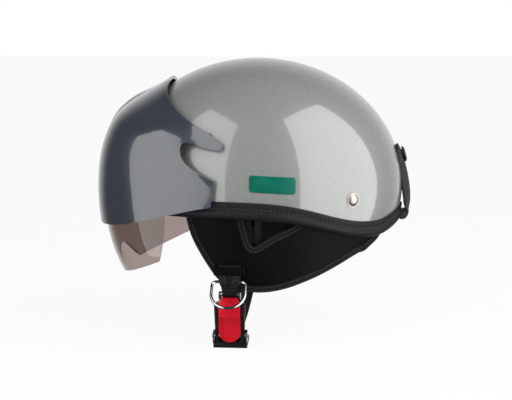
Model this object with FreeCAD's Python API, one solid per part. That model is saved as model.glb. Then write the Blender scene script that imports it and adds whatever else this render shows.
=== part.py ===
import FreeCAD, Part
import math
import os
from FreeCAD import Vector

os.makedirs("parts", exist_ok=True)

# Half shell motorcycle helmet with a sun lens, leather ear flaps and a chin strap.
# Frame: the helmet looks toward -Y, its left side is +X, up is +Z.
# The origin is the middle of the head opening, level with the widest ring of the dome.
# All sizes are millimetres and all angles are degrees.

# Dome
HALF_WIDTH = 109.0
HALF_LENGTH = 133.0
DOME_MID_Y = 2.0
CROWN_HEIGHT = 116.0
SHELL_WALL = 3.5
LINER_GAP = 0.2
LINER_WALL = 20.0
CROWN_PAD = 8.0
CROWN_PAD_FROM_Z = 50.0
BAND_PAD = 9.0
BAND_PAD_TOP_Z = 38.0

# Rim, seen from the side: nearly level, with a dip at the rear quarter
RIM_SIDE_Z = -15.2
RIM_DIP = 21.2
RIM_DIP_Y = 110.0
RIM_DIP_RUN_FRONT = 56.0
RIM_DIP_RUN_REAR = 32.0
LINER_ABOVE_RIM = 16.0

# Trim round the rim
TRIM_BAND_HEIGHT = 10.5
TRIM_OUTER = 1.7
TRIM_INNER = 1.2
TRIM_ROLL_RADIUS = 4.3
TRIM_ROLL_OUTSET = 0.8

# Sun lens: turned about an axis along X
LENS_AXIS_Y = -2.0
LENS_AXIS_Z = -11.4
LENS_RADIUS = 136.0
LENS_HALF_SPAN = 105.5
LENS_ROUNDNESS = 2.7
LENS_THICK = 2.0
LENS_END_RADIUS = 66.7
LENS_LOW_ANGLE = -36.0
LENS_HIGH_ANGLE = 8.0
LENS_TRAVEL = 26.0
NOTCH_TOP_Z = -57.6
NOTCH_LOW_Z = -77.5
NOTCH_HALF = 46.0

# Rails that carry the ends of the lens
RAIL_PLAY = 0.4
RAIL_WALL = 0.9
RAIL_DEPTH = 3.6
RAIL_LOW_ANGLE = 6.2
RAIL_FLOOR_PLAY = 1.1

# Peak
PEAK_WALL = 2.6
PEAK_STAND_OFF = 5.2
PEAK_OVER_LENS = 4.8
PEAK_SIDE_EXTRA = 2.4
PEAK_BULGE = 6.0
PEAK_BULGE_ANGLE = 28.0
PEAK_BULGE_RUN = 20.0
PEAK_CLOSE_FROM = 29.0
PEAK_CLOSE_TO = 55.0
PEAK_CLOSE_SIDE_DELAY = 8.0
SPINE_HEIGHT = 3.2
SPINE_HALF = 7.0

# Peak fasteners, as places in the side view (Y, Z)
PEAK_SCREW_PLACES = [(-38.0, 3.0), (-32.0, 47.0), (-88.0, 76.0)]
SCREW_RADIUS = 2.0
SCREW_HEAD_RADIUS = 4.0
SCREW_HEAD = 2.0
SCREW_IN_PEAK = 1.4
SPACER_RADIUS = 5.0
SPACER_PLAY = 0.05

# Strap rivets, as places in the side view (Y, Z)
REAR_RIVET_PLACE = (90.9, -5.1)
FRONT_RIVET_PLACE = (-57.0, 4.0)
RIVET_RADIUS = 5.3
RIVET_DOME = 2.6
FLAT_RIVET_HEAD = 1.4
RIVET_SHANK = 2.0
WASHER_RADIUS = 6.0
WASHER_THICK = 1.2
WASHER_SEAT = 5.8
WEB_THICK = 1.6
WEB_WIDTH = 20.0
WEB_PLAY = 0.3
BRANCH_WIDTH = 16.0

# Ear flaps
FLAP_DEPTH_IN = 2.6
FLAP_WALL = 4.0
FLAP_LEAN = 0.14
BINDING_WIDTH = 6.0
BINDING_PROUD = 0.9
BINDING_EDGE = 0.8
EAR_BINDING_WIDTH = 6.5
TAPE_WIDTH = 5.5

# Chin strap and ring
STRAP_MID_Y = -14.5
STRAP_END_WIDTH = 12.5
KEEPER_LOW_Z = -69.8
KEEPER_HIGH_Z = -62.6
KEEPER_WIDTH = 27.0
KEEPER_WALL = 1.5
KEEPER_ROOM = 0.4
RING_WIRE = 1.3
RING_HALF_WIDTH = 14.6
RING_DEPTH = 27.0
RING_LEAN = 45.0
RING_BAR_Z = -75.0

# Buckle, along its own length s, measured down from the top of the lever
BUCKLE_TOP_X = 92.0
BUCKLE_TOP_Z = -87.5
BUCKLE_TILT = 8.0
FRAME_WALL = 1.5
FRAME_HALF_WIDTH = 12.2
FRAME_TOP = -3.0
FRAME_END = 42.0
EAR_TOP = 32.0
EAR_RISE = 8.2
EAR_HALF_WIDTH = 15.0
COVER_TOP = 7.0
COVER_HALF_TOP = 13.4
COVER_HALF_LOW = 12.4
COVER_RISE = 7.6
LEVER_HALF_WIDTH = 9.5
LEVER_PLAY = 0.35
LEVER_TOP = 0.4
LEVER_END = 40.4
LEVER_LOW_T = 4.4
LEVER_HIGH_T = 9.6
LEVER_STEP = 17.0
LEVER_PANEL_DEPTH = 0.8
PIN_RADIUS = 1.5
PIN_PLAY = 0.05
PIN_S = 35.6
PIN_T = 5.9
BAR_RADIUS = 1.5
BAR_S = -1.2
BAR_T = 2.6
TONGUE_HALF_WIDTH = 6.0
TONGUE_THICK = 1.4
TONGUE_LIFT = 0.35
TONGUE_TOP = 12.0
TOOTH_PITCH = 2.6
TOOTH_RISE = 0.7
TOOTH_COUNT = 7
HOLDER_TOP = 42.3
HOLDER_END = 46.6
HOLDER_HALF_WIDTH = 14.8
HOLDER_FRONT_T = 7.4
HOLDER_BACK_T = -15.0

# Rear goggle strap
GOGGLE_HALF_WIDTH = 14.0
GOGGLE_THICK = 2.6
GOGGLE_HINGE_Z = -22.5
GOGGLE_HINGE_Y = 141.4
SNAP_Z = 27.0
SNAP_CAP_RADIUS = 7.2
SNAP_CAP_RISE = 2.6
SNAP_CAP_LIFT = 4.4
SNAP_POST_RADIUS = 3.0
SNAP_PLAY = 0.7

# Blank side label, four corners in the side view (Y, Z)
LABEL_CORNERS = [(3.5, 18.2), (42.9, 16.0), (42.6, 1.6), (3.6, 3.9)]
LABEL_THICK = 0.5

# Reach of the cutting blocks, well outside the helmet
FAR = 170.0
X_AXIS = Vector(1, 0, 0)
Y_AXIS = Vector(0, 1, 0)
Z_AXIS = Vector(0, 0, 1)
NOWHERE = Vector(0, 0, 0)


def save(name, shape):
    shape.exportStep("parts/" + name + ".step")


def smooth_step(value, low, high):
    t = min(1.0, max(0.0, (value - low) / (high - low)))
    return t * t * (3.0 - 2.0 * t)


def group(shapes):
    return Part.makeCompound(shapes)


def mirrored(shape):
    return shape.mirror(NOWHERE, X_AXIS)


def box_between(low, high):
    size = [high[i] - low[i] for i in range(3)]
    return Part.makeBox(size[0], size[1], size[2], Vector(*low))


def cylinder(start, direction, radius, length):
    return Part.makeCylinder(radius, length, start, direction)


# Dome: one ellipsoid, grown or shrunk for each layer

def dome(grow):
    ball = Part.makeSphere(1.0)
    scale = FreeCAD.Matrix()
    scale.scale(HALF_WIDTH + grow, HALF_LENGTH + grow, CROWN_HEIGHT + grow)
    ball = ball.transformGeometry(scale)
    ball.translate(Vector(0, DOME_MID_Y, 0))
    return ball


def layer(outer, inner):
    return dome(outer).cut(dome(inner))


def dome_x(y, z):
    part = 1.0 - ((y - DOME_MID_Y) / HALF_LENGTH) ** 2 - (z / CROWN_HEIGHT) ** 2
    return HALF_WIDTH * math.sqrt(max(0.0, part))


def dome_rear_y(z):
    return DOME_MID_Y + HALF_LENGTH * math.sqrt(1.0 - (z / CROWN_HEIGHT) ** 2)


def dome_normal_at(spot):
    gy = (spot.y - DOME_MID_Y) / HALF_LENGTH ** 2
    return Vector(spot.x / HALF_WIDTH ** 2, gy, spot.z / CROWN_HEIGHT ** 2).normalize()


def dome_point(y, z):
    return Vector(dome_x(y, z), y, z)


def dome_normal(y, z):
    return dome_normal_at(dome_point(y, z))


def ring_point(angle, z, inset):
    bend = rim_z(DOME_MID_Y + HALF_LENGTH * math.sin(angle)) - TRIM_ROLL_RADIUS
    lean = FLAP_LEAN * max(0.0, bend - z)
    part = math.sqrt(1.0 - (max(z, bend) / (CROWN_HEIGHT + inset)) ** 2)
    x = ((HALF_WIDTH + inset) * part - lean) * math.cos(angle)
    y = DOME_MID_Y + ((HALF_LENGTH + inset) * part - lean) * math.sin(angle)
    return Vector(x, y, z)


# Outlines drawn in the side view and pushed through along X

def side_edge(points):
    curve = Part.BSplineCurve()
    curve.interpolate([Vector(0, y, z) for y, z in points])
    return curve.toShape()


def side_line(start, end):
    return Part.makeLine(Vector(0, start[0], start[1]), Vector(0, end[0], end[1]))


def side_face(edges):
    return Part.Face(Part.Wire(edges))


def through_x(face, low=-FAR, high=FAR):
    face = face.copy()
    face.translate(Vector(low, 0, 0))
    return face.extrude(Vector(high - low, 0, 0))


def side_polygon(points):
    return Part.Face(Part.makePolygon([Vector(0, y, z) for y, z in points + points[:1]]))


def rim_z(y):
    run = RIM_DIP_RUN_FRONT if y < RIM_DIP_Y else RIM_DIP_RUN_REAR
    return RIM_SIDE_Z - RIM_DIP * math.exp(-((y - RIM_DIP_Y) / run) ** 2)


def above_rim(lift):
    steps = 28
    ys = [-FAR + 2.0 * FAR * i / steps for i in range(steps + 1)]
    line = [(y, rim_z(y) + lift) for y in ys]
    edges = [side_edge(line)]
    edges.append(side_line(line[-1], (FAR, FAR)))
    edges.append(side_line((FAR, FAR), (-FAR, FAR)))
    edges.append(side_line((-FAR, FAR), line[0]))
    return through_x(side_face(edges))


# Curved walls between two grids of points

def grid_surface(place, us, vs):
    surface = Part.BSplineSurface()
    surface.interpolate([[place(u, v) for v in vs] for u in us])
    return surface


def wall_solid(outer_place, inner_place, us, vs):
    outer = grid_surface(outer_place, us, vs)
    inner = grid_surface(inner_place, us, vs)
    u0, u1, v0, v1 = outer.bounds()
    p0, p1, q0, q1 = inner.bounds()
    pairs = [
        (outer.uIso(u0), inner.uIso(p0)),
        (outer.uIso(u1), inner.uIso(p1)),
        (outer.vIso(v0), inner.vIso(q0)),
        (outer.vIso(v1), inner.vIso(q1)),
    ]
    faces = [outer.toShape(), inner.toShape()]
    for one, other in pairs:
        faces.append(Part.makeRuledSurface(one.toShape(), other.toShape()))
    shell = Part.makeShell(faces)
    shell.sewShape()
    solid = Part.makeSolid(shell)
    if solid.Volume < 0:
        solid.reverse()
    return solid


def spread(low, high, count):
    return [low + (high - low) * i / (count - 1) for i in range(count)]


# Shell, liner and comfort pads

def make_outer_shell():
    return layer(0.0, -SHELL_WALL).common(above_rim(0.0))


def make_eps_liner(pockets):
    outer = -SHELL_WALL - LINER_GAP
    liner = layer(outer, outer - LINER_WALL).common(above_rim(LINER_ABOVE_RIM))
    return liner.cut(pockets)


def pad_layer(thick):
    outer = -SHELL_WALL - LINER_GAP - LINER_WALL - LINER_GAP
    return layer(outer, outer - thick)


def make_comfort_crown():
    keep = box_between((-FAR, -FAR, CROWN_PAD_FROM_Z), (FAR, FAR, FAR))
    return pad_layer(CROWN_PAD).common(keep)


def make_comfort_band():
    keep = box_between((-FAR, -FAR, -FAR), (FAR, FAR, BAND_PAD_TOP_Z))
    return pad_layer(BAND_PAD).common(above_rim(LINER_ABOVE_RIM)).common(keep)


# Trim: a band on each side of the rim and a stepped roll under it

def make_edge_trim():
    middle = TRIM_ROLL_OUTSET - SHELL_WALL / 2.0
    step = 0.6 * TRIM_ROLL_RADIUS
    narrow = 0.6 * TRIM_ROLL_RADIUS
    inner = -SHELL_WALL - TRIM_INNER
    blank = dome(middle + TRIM_ROLL_RADIUS).common(above_rim(-TRIM_ROLL_RADIUS))
    blank = blank.cut(above_rim(TRIM_BAND_HEIGHT)).cut(dome(middle - TRIM_ROLL_RADIUS))
    upper = above_rim(step)
    blank = blank.cut(upper.cut(dome(TRIM_OUTER)))
    blank = blank.cut(upper.common(dome(inner)))
    middle_part = blank.common(above_rim(-step))
    low_part = blank.cut(above_rim(-step)).common(dome(middle + narrow)).cut(dome(middle - narrow))
    return middle_part.fuse(low_part).cut(layer(0.0, -SHELL_WALL).common(above_rim(0.0)))


# Lens profile in the plane of the axis: distance along X, distance from the axis

def lens_reach(x):
    part = 1.0 - (abs(x) / LENS_HALF_SPAN) ** LENS_ROUNDNESS
    return LENS_RADIUS * max(0.0, part) ** (1.0 / LENS_ROUNDNESS)


def lens_x(radius):
    part = 1.0 - (radius / LENS_RADIUS) ** LENS_ROUNDNESS
    return LENS_HALF_SPAN * part ** (1.0 / LENS_ROUNDNESS)


def lens_profile_point(x, depth):
    radius = lens_reach(x)
    gx = (abs(x) / LENS_HALF_SPAN) ** (LENS_ROUNDNESS - 1.0) / LENS_HALF_SPAN
    gr = (radius / LENS_RADIUS) ** (LENS_ROUNDNESS - 1.0) / LENS_RADIUS
    size = math.hypot(gx, gr)
    side = 1.0 if x >= 0 else -1.0
    px = x - side * depth * gx / size
    pr = radius - depth * gr / size
    return Vector(px, LENS_AXIS_Y - pr, LENS_AXIS_Z)


def turned(face, low_angle, high_angle):
    axis = Vector(0, LENS_AXIS_Y, LENS_AXIS_Z)
    face = face.copy()
    face.rotate(axis, X_AXIS, -low_angle)
    return face.revolve(axis, X_AXIS, -(high_angle - low_angle))


def lens_profile_xs():
    end = lens_x(LENS_END_RADIUS)
    limit = math.asin((end / LENS_HALF_SPAN) ** (LENS_ROUNDNESS / 2.0))
    angles = spread(-limit, limit, 31)
    xs = []
    for angle in angles:
        reach = abs(math.sin(angle)) ** (2.0 / LENS_ROUNDNESS)
        xs.append(math.copysign(LENS_HALF_SPAN * reach, angle))
    return xs


def make_sun_lens():
    xs = lens_profile_xs()
    outer = Part.BSplineCurve()
    outer.interpolate([lens_profile_point(x, 0.0) for x in xs])
    inner = Part.BSplineCurve()
    inner.interpolate([lens_profile_point(x, LENS_THICK) for x in xs])
    ends = []
    for x in (xs[0], xs[-1]):
        ends.append(Part.makeLine(lens_profile_point(x, 0.0), lens_profile_point(x, LENS_THICK)))
    wire = Part.Wire(Part.__sortEdges__([outer.toShape(), inner.toShape()] + ends))
    blank = turned(Part.Face(wire), LENS_LOW_ANGLE, LENS_HIGH_ANGLE)
    return blank.common(lens_side_outline()).cut(lens_nose_notch())


def lens_side_outline():
    rear = [(-66.5, -12.0), (-69.6, -18.0), (-71.2, -33.0), (-72.8, -45.0), (-75.5, -57.0)]
    low = [(-78.5, -60.4), (-92.0, -66.4), (-104.0, -71.4), (-116.0, -75.6), (-128.0, -78.6), (-150.0, -80.0)]
    edges = [side_edge(rear), side_edge([rear[-1], (-76.3, -59.3), low[0]]), side_edge(low)]
    corners = [low[-1], (-150.0, -7.0), (-92.0, -7.0), (-78.0, 8.0), (-50.0, 8.0), (-50.0, -12.0), rear[0]]
    for start, end in zip(corners, corners[1:]):
        edges.append(side_line(start, end))
    return through_x(side_face(edges))


def lens_nose_notch():
    steps = spread(-NOTCH_HALF - 6.0, NOTCH_HALF + 6.0, 21)
    arch = []
    for x in steps:
        t = min(1.0, abs(x) / NOTCH_HALF)
        drop = 0.5 - 0.5 * math.cos(math.pi * t ** 1.25)
        arch.append(Vector(x, -FAR, NOTCH_TOP_Z + (NOTCH_LOW_Z - 1.5 - NOTCH_TOP_Z) * drop))
    curve = Part.BSplineCurve()
    curve.interpolate(arch)
    low = [Vector(arch[-1].x, -FAR, -FAR), Vector(arch[0].x, -FAR, -FAR)]
    edges = [curve.toShape(), Part.makeLine(arch[-1], low[0]), Part.makeLine(low[0], low[1])]
    edges.append(Part.makeLine(low[1], arch[0]))
    return Part.Face(Part.Wire(edges)).extrude(Vector(0, FAR, 0))


def make_lens_rail():
    outer_x = lens_x(LENS_END_RADIUS) + RAIL_PLAY
    inner_x = lens_x(LENS_END_RADIUS + RAIL_DEPTH) - LENS_THICK - RAIL_PLAY
    low_r = LENS_END_RADIUS - RAIL_FLOOR_PLAY
    high_r = LENS_END_RADIUS + RAIL_DEPTH - RAIL_PLAY
    outline = [
        (inner_x - 8.0, low_r - RAIL_WALL),
        (outer_x + RAIL_WALL, low_r - RAIL_WALL),
        (outer_x + RAIL_WALL, high_r),
        (outer_x, high_r),
        (outer_x, low_r),
        (inner_x, low_r),
        (inner_x, high_r),
        (inner_x - 8.0, high_r),
    ]
    points = [Vector(x, LENS_AXIS_Y - r, LENS_AXIS_Z) for x, r in outline + outline[:1]]
    high = LENS_HIGH_ANGLE + LENS_TRAVEL + 0.6
    return turned(Part.Face(Part.makePolygon(points)), RAIL_LOW_ANGLE, high).cut(dome(0.0))


# Peak: stands close on the dome at its rear edge and clears the lens in front

def peak_direction(across, up):
    a = math.radians(across)
    b = math.radians(up)
    return Vector(math.sin(a), -math.cos(a) * math.cos(b), math.cos(a) * math.sin(b))


def reach_to_dome(d):
    a = (d.x / HALF_WIDTH) ** 2 + (d.y / HALF_LENGTH) ** 2 + (d.z / CROWN_HEIGHT) ** 2
    b = -d.y * DOME_MID_Y / HALF_LENGTH ** 2
    c = (DOME_MID_Y / HALF_LENGTH) ** 2 - 1.0
    return (-b + math.sqrt(b * b - a * c)) / a


def reach_to_lens(d):
    low, high = 40.0, 200.0
    for _ in range(40):
        mid = 0.5 * (low + high)
        radius = math.hypot(d.y * mid - LENS_AXIS_Y, d.z * mid - LENS_AXIS_Z)
        size = (abs(d.x) * mid / LENS_HALF_SPAN) ** LENS_ROUNDNESS
        size += (radius / LENS_RADIUS) ** LENS_ROUNDNESS
        if size < 1.0:
            low = mid
        else:
            high = mid
    return 0.5 * (low + high)


def peak_reach(across, up):
    d = peak_direction(across, up)
    on_dome = reach_to_dome(d)
    on_lens = reach_to_lens(d)
    y = d.y * on_lens - LENS_AXIS_Y
    z = d.z * on_lens - LENS_AXIS_Z
    lift = math.degrees(math.atan2(z, -y))
    wide = smooth_step(abs(d.x * on_lens), 70.0, 96.0)
    delay = PEAK_CLOSE_SIDE_DELAY * wide
    close = smooth_step(lift, PEAK_CLOSE_FROM + delay, PEAK_CLOSE_TO + delay)
    bulge = PEAK_BULGE * math.exp(-((lift - PEAK_BULGE_ANGLE) / PEAK_BULGE_RUN) ** 2)
    over_lens = on_lens + PEAK_OVER_LENS + PEAK_SIDE_EXTRA * wide + bulge * (1.0 - wide)
    near = on_dome + PEAK_STAND_OFF
    reach = close * near + (1.0 - close) * over_lens
    reach = 0.5 * (reach + near + math.sqrt((reach - near) ** 2 + 4.0))
    reach -= close * 0.9
    run = smooth_step(lift, 0.0, 22.0) * (1.0 - smooth_step(lift, 38.0, 53.0))
    x = d.x * reach
    return reach + SPINE_HEIGHT * run * math.exp(-(x / SPINE_HALF) ** 2)


def peak_outer(across, up):
    return peak_direction(across, up) * peak_reach(across, up)


def peak_inner(across, up):
    return peak_direction(across, up) * (peak_reach(across, up) - PEAK_WALL)


def peak_side_outline():
    low = [(-160.0, -31.0), (-128.0, -31.0), (-110.0, -28.2), (-91.6, -23.4), (-71.4, -18.4), (-48.7, -12.9), (-28.8, -9.2)]
    rear = [low[-1], (-27.4, 2.0), (-26.6, 13.0)]
    lobe = [rear[-1], (-33.5, 16.4), (-43.1, 21.5), (-50.4, 27.2), (-54.8, 33.8), (-55.6, 39.4)]
    cleft = [lobe[-1], (-53.6, 44.0), (-49.0, 44.6), (-45.0, 43.2)]
    prong = [cleft[-1], (-33.5, 40.3), (-23.6, 38.7)]
    tip = [prong[-1], (-19.4, 41.4), (-19.9, 45.2)]
    top = [tip[-1], (-26.0, 49.3), (-38.2, 55.9), (-50.8, 63.0), (-59.8, 69.2), (-67.5, 75.8), (-73.4, 82.2), (-76.2, 88.6), (-76.8, 94.6), (-77.0, 100.0), (-77.0, 112.0)]
    edges = [side_edge(points) for points in (low, rear, lobe, cleft, prong, tip, top)]
    corners = [top[-1], (-160.0, 112.0), low[0]]
    for start, end in zip(corners, corners[1:]):
        edges.append(side_line(start, end))
    return through_x(side_face(edges))


def peak_far_out(across, up):
    return peak_direction(across, up) * (peak_reach(across, up) + 10.0)


def peak_block(inner_place, outer_place):
    shares = spread(-1.0, 1.0, 61)
    across = [80.0 * (0.45 * s + 0.55 * s ** 3) for s in shares]
    up = spread(-28.0, 82.0, 37)
    return wall_solid(outer_place, inner_place, across, up)


def make_peak(drills):
    return peak_block(peak_inner, peak_outer).common(peak_side_outline()).cut(drills)


def make_peak_screw(y, z, radius=SCREW_RADIUS):
    normal = dome_normal(y, z)
    spot = dome_point(y, z)
    start = spot - normal * (SHELL_WALL + SCREW_HEAD)
    shank = cylinder(start, normal, radius, SCREW_HEAD + SHELL_WALL + gap_to_peak(y, z) + SCREW_IN_PEAK)
    head = cylinder(start, normal, SCREW_HEAD_RADIUS, SCREW_HEAD)
    return shank.fuse(head)


def gap_to_peak(y, z):
    spot = dome_point(y, z)
    normal = dome_normal(y, z)
    low, high = 0.0, 30.0
    for _ in range(40):
        mid = 0.5 * (low + high)
        place = spot + normal * mid
        size = place.Length
        across = math.degrees(math.asin(place.x / size))
        up = math.degrees(math.atan2(place.z, -place.y))
        if size < peak_reach(across, up) - PEAK_WALL:
            low = mid
        else:
            high = mid
    return 0.5 * (low + high)


def make_peak_spacer(y, z):
    normal = dome_normal(y, z)
    spot = dome_point(y, z)
    disc = cylinder(spot - normal * 2.0, normal, SPACER_RADIUS, gap_to_peak(y, z) + 6.0)
    bore = cylinder(spot - normal * 3.0, normal, SCREW_RADIUS + SPACER_PLAY, 40.0)
    return disc.cut(bore).cut(dome(0.0)).cut(peak_block(peak_inner, peak_far_out))


# Rivets and washers

def make_rivet(place, domed):
    normal = dome_normal(*place)
    spot = dome_point(*place)
    depth = WASHER_SEAT + WASHER_THICK
    shank = cylinder(spot - normal * depth, normal, RIVET_SHANK, depth + 0.8)
    if domed:
        ball_radius = (RIVET_RADIUS ** 2 + RIVET_DOME ** 2) / (2.0 * RIVET_DOME)
        ball = Part.makeSphere(ball_radius, spot + normal * (RIVET_DOME - ball_radius))
        head = ball.common(cylinder(spot, normal, RIVET_RADIUS + 1.0, RIVET_DOME + 1.0))
    else:
        head = cylinder(spot, normal, RIVET_RADIUS, FLAT_RIVET_HEAD)
    base = cylinder(spot - normal, normal, RIVET_RADIUS, 1.6)
    return head.fuse(base).cut(dome(0.0)).fuse(shank)


def make_washer(place):
    normal = dome_normal(*place)
    spot = dome_point(*place)
    start = spot - normal * (WASHER_SEAT + WASHER_THICK)
    disc = cylinder(start, normal, WASHER_RADIUS, WASHER_THICK)
    return disc.cut(cylinder(start - normal, normal, RIVET_SHANK, 5.0))


def rivet_hole(place):
    normal = dome_normal(*place)
    spot = dome_point(*place)
    return cylinder(spot - normal * 9.0, normal, RIVET_SHANK, 12.0)


def washer_pocket(place):
    normal = dome_normal(*place)
    spot = dome_point(*place)
    return cylinder(spot - normal * 8.5, normal, WASHER_RADIUS + 1.0, 8.5)


# Skirt: the surface that the ear flaps hang on, inside the rim and down past it

def skirt_point(angle, z, depth):
    return ring_point(angle, z, -SHELL_WALL - FLAP_DEPTH_IN - depth)


def skirt_layer(outer_depth, inner_depth):
    angles = [math.radians(a) for a in spread(-32.0, 84.0, 30)]
    heights = spread(-98.0, 0.0, 29)
    outer = lambda a, z: skirt_point(a, z, outer_depth)
    inner = lambda a, z: skirt_point(a, z, inner_depth)
    return wall_solid(outer, inner, angles, heights)


FLAP_FRONT = [(-54.2, -13.0), (-52.6, -22.0), (-49.6, -34.0), (-45.4, -43.6), (-39.4, -54.3), (-33.0, -64.4), (-25.6, -74.0)]
FLAP_LOW = [(-25.6, -74.0), (-14.0, -81.6), (2.2, -85.2), (17.0, -85.4), (32.5, -82.7), (46.0, -78.4), (62.4, -72.0), (80.0, -63.6), (96.0, -55.6)]
FLAP_REAR = [(96.0, -55.6), (101.0, -54.8), (106.5, -50.8), (112.0, -46.4), (117.0, -40.4), (120.0, -35.0)]
EAR_LINE = [(-1.5, -21.4), (0.8, -31.0), (5.0, -43.4), (9.0, -43.4), (22.0, -35.2), (41.0, -25.8), (44.0, -21.4)]


def flap_top(y):
    return rim_z(y) + TRIM_BAND_HEIGHT - 5.0


def flap_edges():
    top = [(y, flap_top(y)) for y in spread(FLAP_REAR[-1][0], FLAP_FRONT[0][0], 16)]
    edges = [side_edge(FLAP_FRONT), side_edge(FLAP_LOW), side_edge(FLAP_REAR)]
    edges.append(side_line(FLAP_REAR[-1], top[0]))
    edges.append(side_edge(top))
    edges.append(side_line(top[-1], FLAP_FRONT[0]))
    return edges


def traced(edges, steps):
    points = []
    for edge in Part.Wire(edges).OrderedEdges:
        run = edge.discretize(steps)
        if points and (run[0] - points[-1]).Length > 0.001:
            run = run[::-1]
        points += run[1:] if points else run
    points[-1] = points[0]
    return Part.Face(Part.makePolygon(points))


def flap_prism(inset=0.0):
    face = traced(flap_edges(), 13)
    if inset > 0.0:
        face = face.makeOffset2D(-inset)
    return through_x(face, 1.0, FAR)


def ear_face(grow=0.0):
    corners = [Vector(0, y, z) for y, z in EAR_LINE]
    base = Part.Face(Part.makePolygon(corners + corners[:1]))
    if grow == 0.0:
        return base
    return Part.Face(base.makeOffset2D(grow).OuterWire)


def ear_prism(grow=0.0):
    return through_x(ear_face(grow), 1.0, FAR)


def flap_border(width):
    return flap_prism().cut(flap_prism(width))


def make_ear_flap():
    wall = skirt_layer(0.0, FLAP_WALL)
    return wall.common(flap_prism(BINDING_EDGE).cut(ear_prism()))


def make_flap_binding(flap):
    thick = skirt_layer(-BINDING_PROUD, FLAP_WALL + BINDING_PROUD)
    border = flap_border(BINDING_WIDTH).cut(above_rim(-TRIM_ROLL_RADIUS - 1.0))
    return thick.common(border.cut(ear_prism(EAR_BINDING_WIDTH + 0.4))).cut(flap)


def make_ear_binding(flap):
    thick = skirt_layer(-BINDING_PROUD, FLAP_WALL + BINDING_PROUD)
    ring = ear_prism(EAR_BINDING_WIDTH).cut(ear_prism(-1.2))
    ring = ring.cut(above_rim(-TRIM_ROLL_RADIUS - 1.0))
    return thick.common(ring).cut(flap)


def make_ear_tapes():
    tapes = []
    for y in (1.4, 9.6):
        wall = skirt_layer(FLAP_WALL + 2.0 * WEB_PLAY + BINDING_PROUD, FLAP_WALL + 2.0 * WEB_PLAY + BINDING_PROUD + WEB_THICK)
        keep = box_between((1.0, y - TAPE_WIDTH / 2.0, -60.0), (FAR, y + TAPE_WIDTH / 2.0, -6.0))
        tapes.append(wall.common(keep))
    return tapes


# Webbing branches from the rivets, inside the shell and behind the flap, to the chin

def branch_point(angle, z, depth):
    high = SHELL_WALL + LINER_GAP
    low = SHELL_WALL + FLAP_DEPTH_IN + FLAP_WALL + BINDING_PROUD + WEB_THICK + 3.0 * WEB_PLAY
    above = z - rim_z(DOME_MID_Y + HALF_LENGTH * math.sin(angle))
    share = 1.0 - smooth_step(above, 5.0, 15.0)
    return ring_point(angle, z, -(high + (low - high) * share) - depth)


def branch_wall(outer_depth, inner_depth):
    angles = [math.radians(a) for a in spread(-34.0, 62.0, 26)]
    heights = spread(-80.0, 26.0, 45)
    outer = lambda a, z: branch_point(a, z, outer_depth)
    inner = lambda a, z: branch_point(a, z, inner_depth)
    return wall_solid(outer, inner, angles, heights)


def strip_face(start, end, width):
    dy, dz = end[0] - start[0], end[1] - start[1]
    size = math.hypot(dy, dz)
    ny, nz = -dz / size * width / 2.0, dy / size * width / 2.0
    corners = [
        (start[0] + ny, start[1] + nz),
        (end[0] + ny, end[1] + nz),
        (end[0] - ny, end[1] - nz),
        (start[0] - ny, start[1] - nz),
    ]
    return side_polygon(corners)


def past_rivet(place, low, extra):
    dy, dz = place[0] - low[0], place[1] - low[1]
    size = math.hypot(dy, dz)
    return (place[0] + dy / size * extra, place[1] + dz / size * extra)


BRANCH_MEETING = (STRAP_MID_Y, -64.0)


def branch_strip(place, grow=0.0):
    top = past_rivet(place, BRANCH_MEETING, 9.0 + grow)
    return through_x(strip_face(top, BRANCH_MEETING, BRANCH_WIDTH + 2.0 * grow), 1.0, FAR)


def make_branches():
    wall = branch_wall(0.0, WEB_THICK)
    front = wall.common(branch_strip(FRONT_RIVET_PLACE))
    rear = wall.common(branch_strip(REAR_RIVET_PLACE))
    front = front.cut(rivet_hole(FRONT_RIVET_PLACE)).cut(make_washer(FRONT_RIVET_PLACE))
    rear = rear.cut(rivet_hole(REAR_RIVET_PLACE)).cut(branch_strip(FRONT_RIVET_PLACE, 0.2))
    return front, rear


def branch_pocket():
    wall = branch_wall(-2.0, WEB_THICK + 0.2)
    both = branch_strip(FRONT_RIVET_PLACE, 0.6).fuse(branch_strip(REAR_RIVET_PLACE, 0.6))
    return wall.common(both)


# Left chin strap: lies on the flap under the keeper, then goes round the buckle bar

def strap_front_x(z):
    return skirt_point(0.0, z, 0.0).x


def band_from_line(points, thick):
    outer = Part.BSplineCurve()
    outer.interpolate([Vector(x, 0, z) for x, z in points])
    edge = outer.toShape()
    other = []
    for i, (x, z) in enumerate(points):
        before = points[max(0, i - 1)]
        after = points[min(len(points) - 1, i + 1)]
        dx, dz = after[0] - before[0], after[1] - before[1]
        size = math.hypot(dx, dz)
        other.append(Vector(x + dz / size * thick, 0, z - dx / size * thick))
    inner = Part.BSplineCurve()
    inner.interpolate(other)
    ends = [Part.makeLine(Vector(points[0][0], 0, points[0][1]), other[0])]
    ends.append(Part.makeLine(Vector(points[-1][0], 0, points[-1][1]), other[-1]))
    wire = Part.Wire(Part.__sortEdges__([edge, inner.toShape()] + ends))
    return Part.Face(wire)


def widened(face, half_width):
    face = face.copy()
    face.translate(Vector(0, STRAP_MID_Y - half_width, 0))
    return face.extrude(Vector(0, 2.0 * half_width, 0))


def buckle_place(t, s):
    tilt = math.radians(BUCKLE_TILT)
    x = BUCKLE_TOP_X + t * math.cos(tilt) - s * math.sin(tilt)
    z = BUCKLE_TOP_Z - s * math.cos(tilt) - t * math.sin(tilt)
    return x, z


def ring_bar_x():
    return strap_front_x(RING_BAR_Z) + 2.0 + WEB_PLAY + WEB_THICK + RING_WIRE


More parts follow.
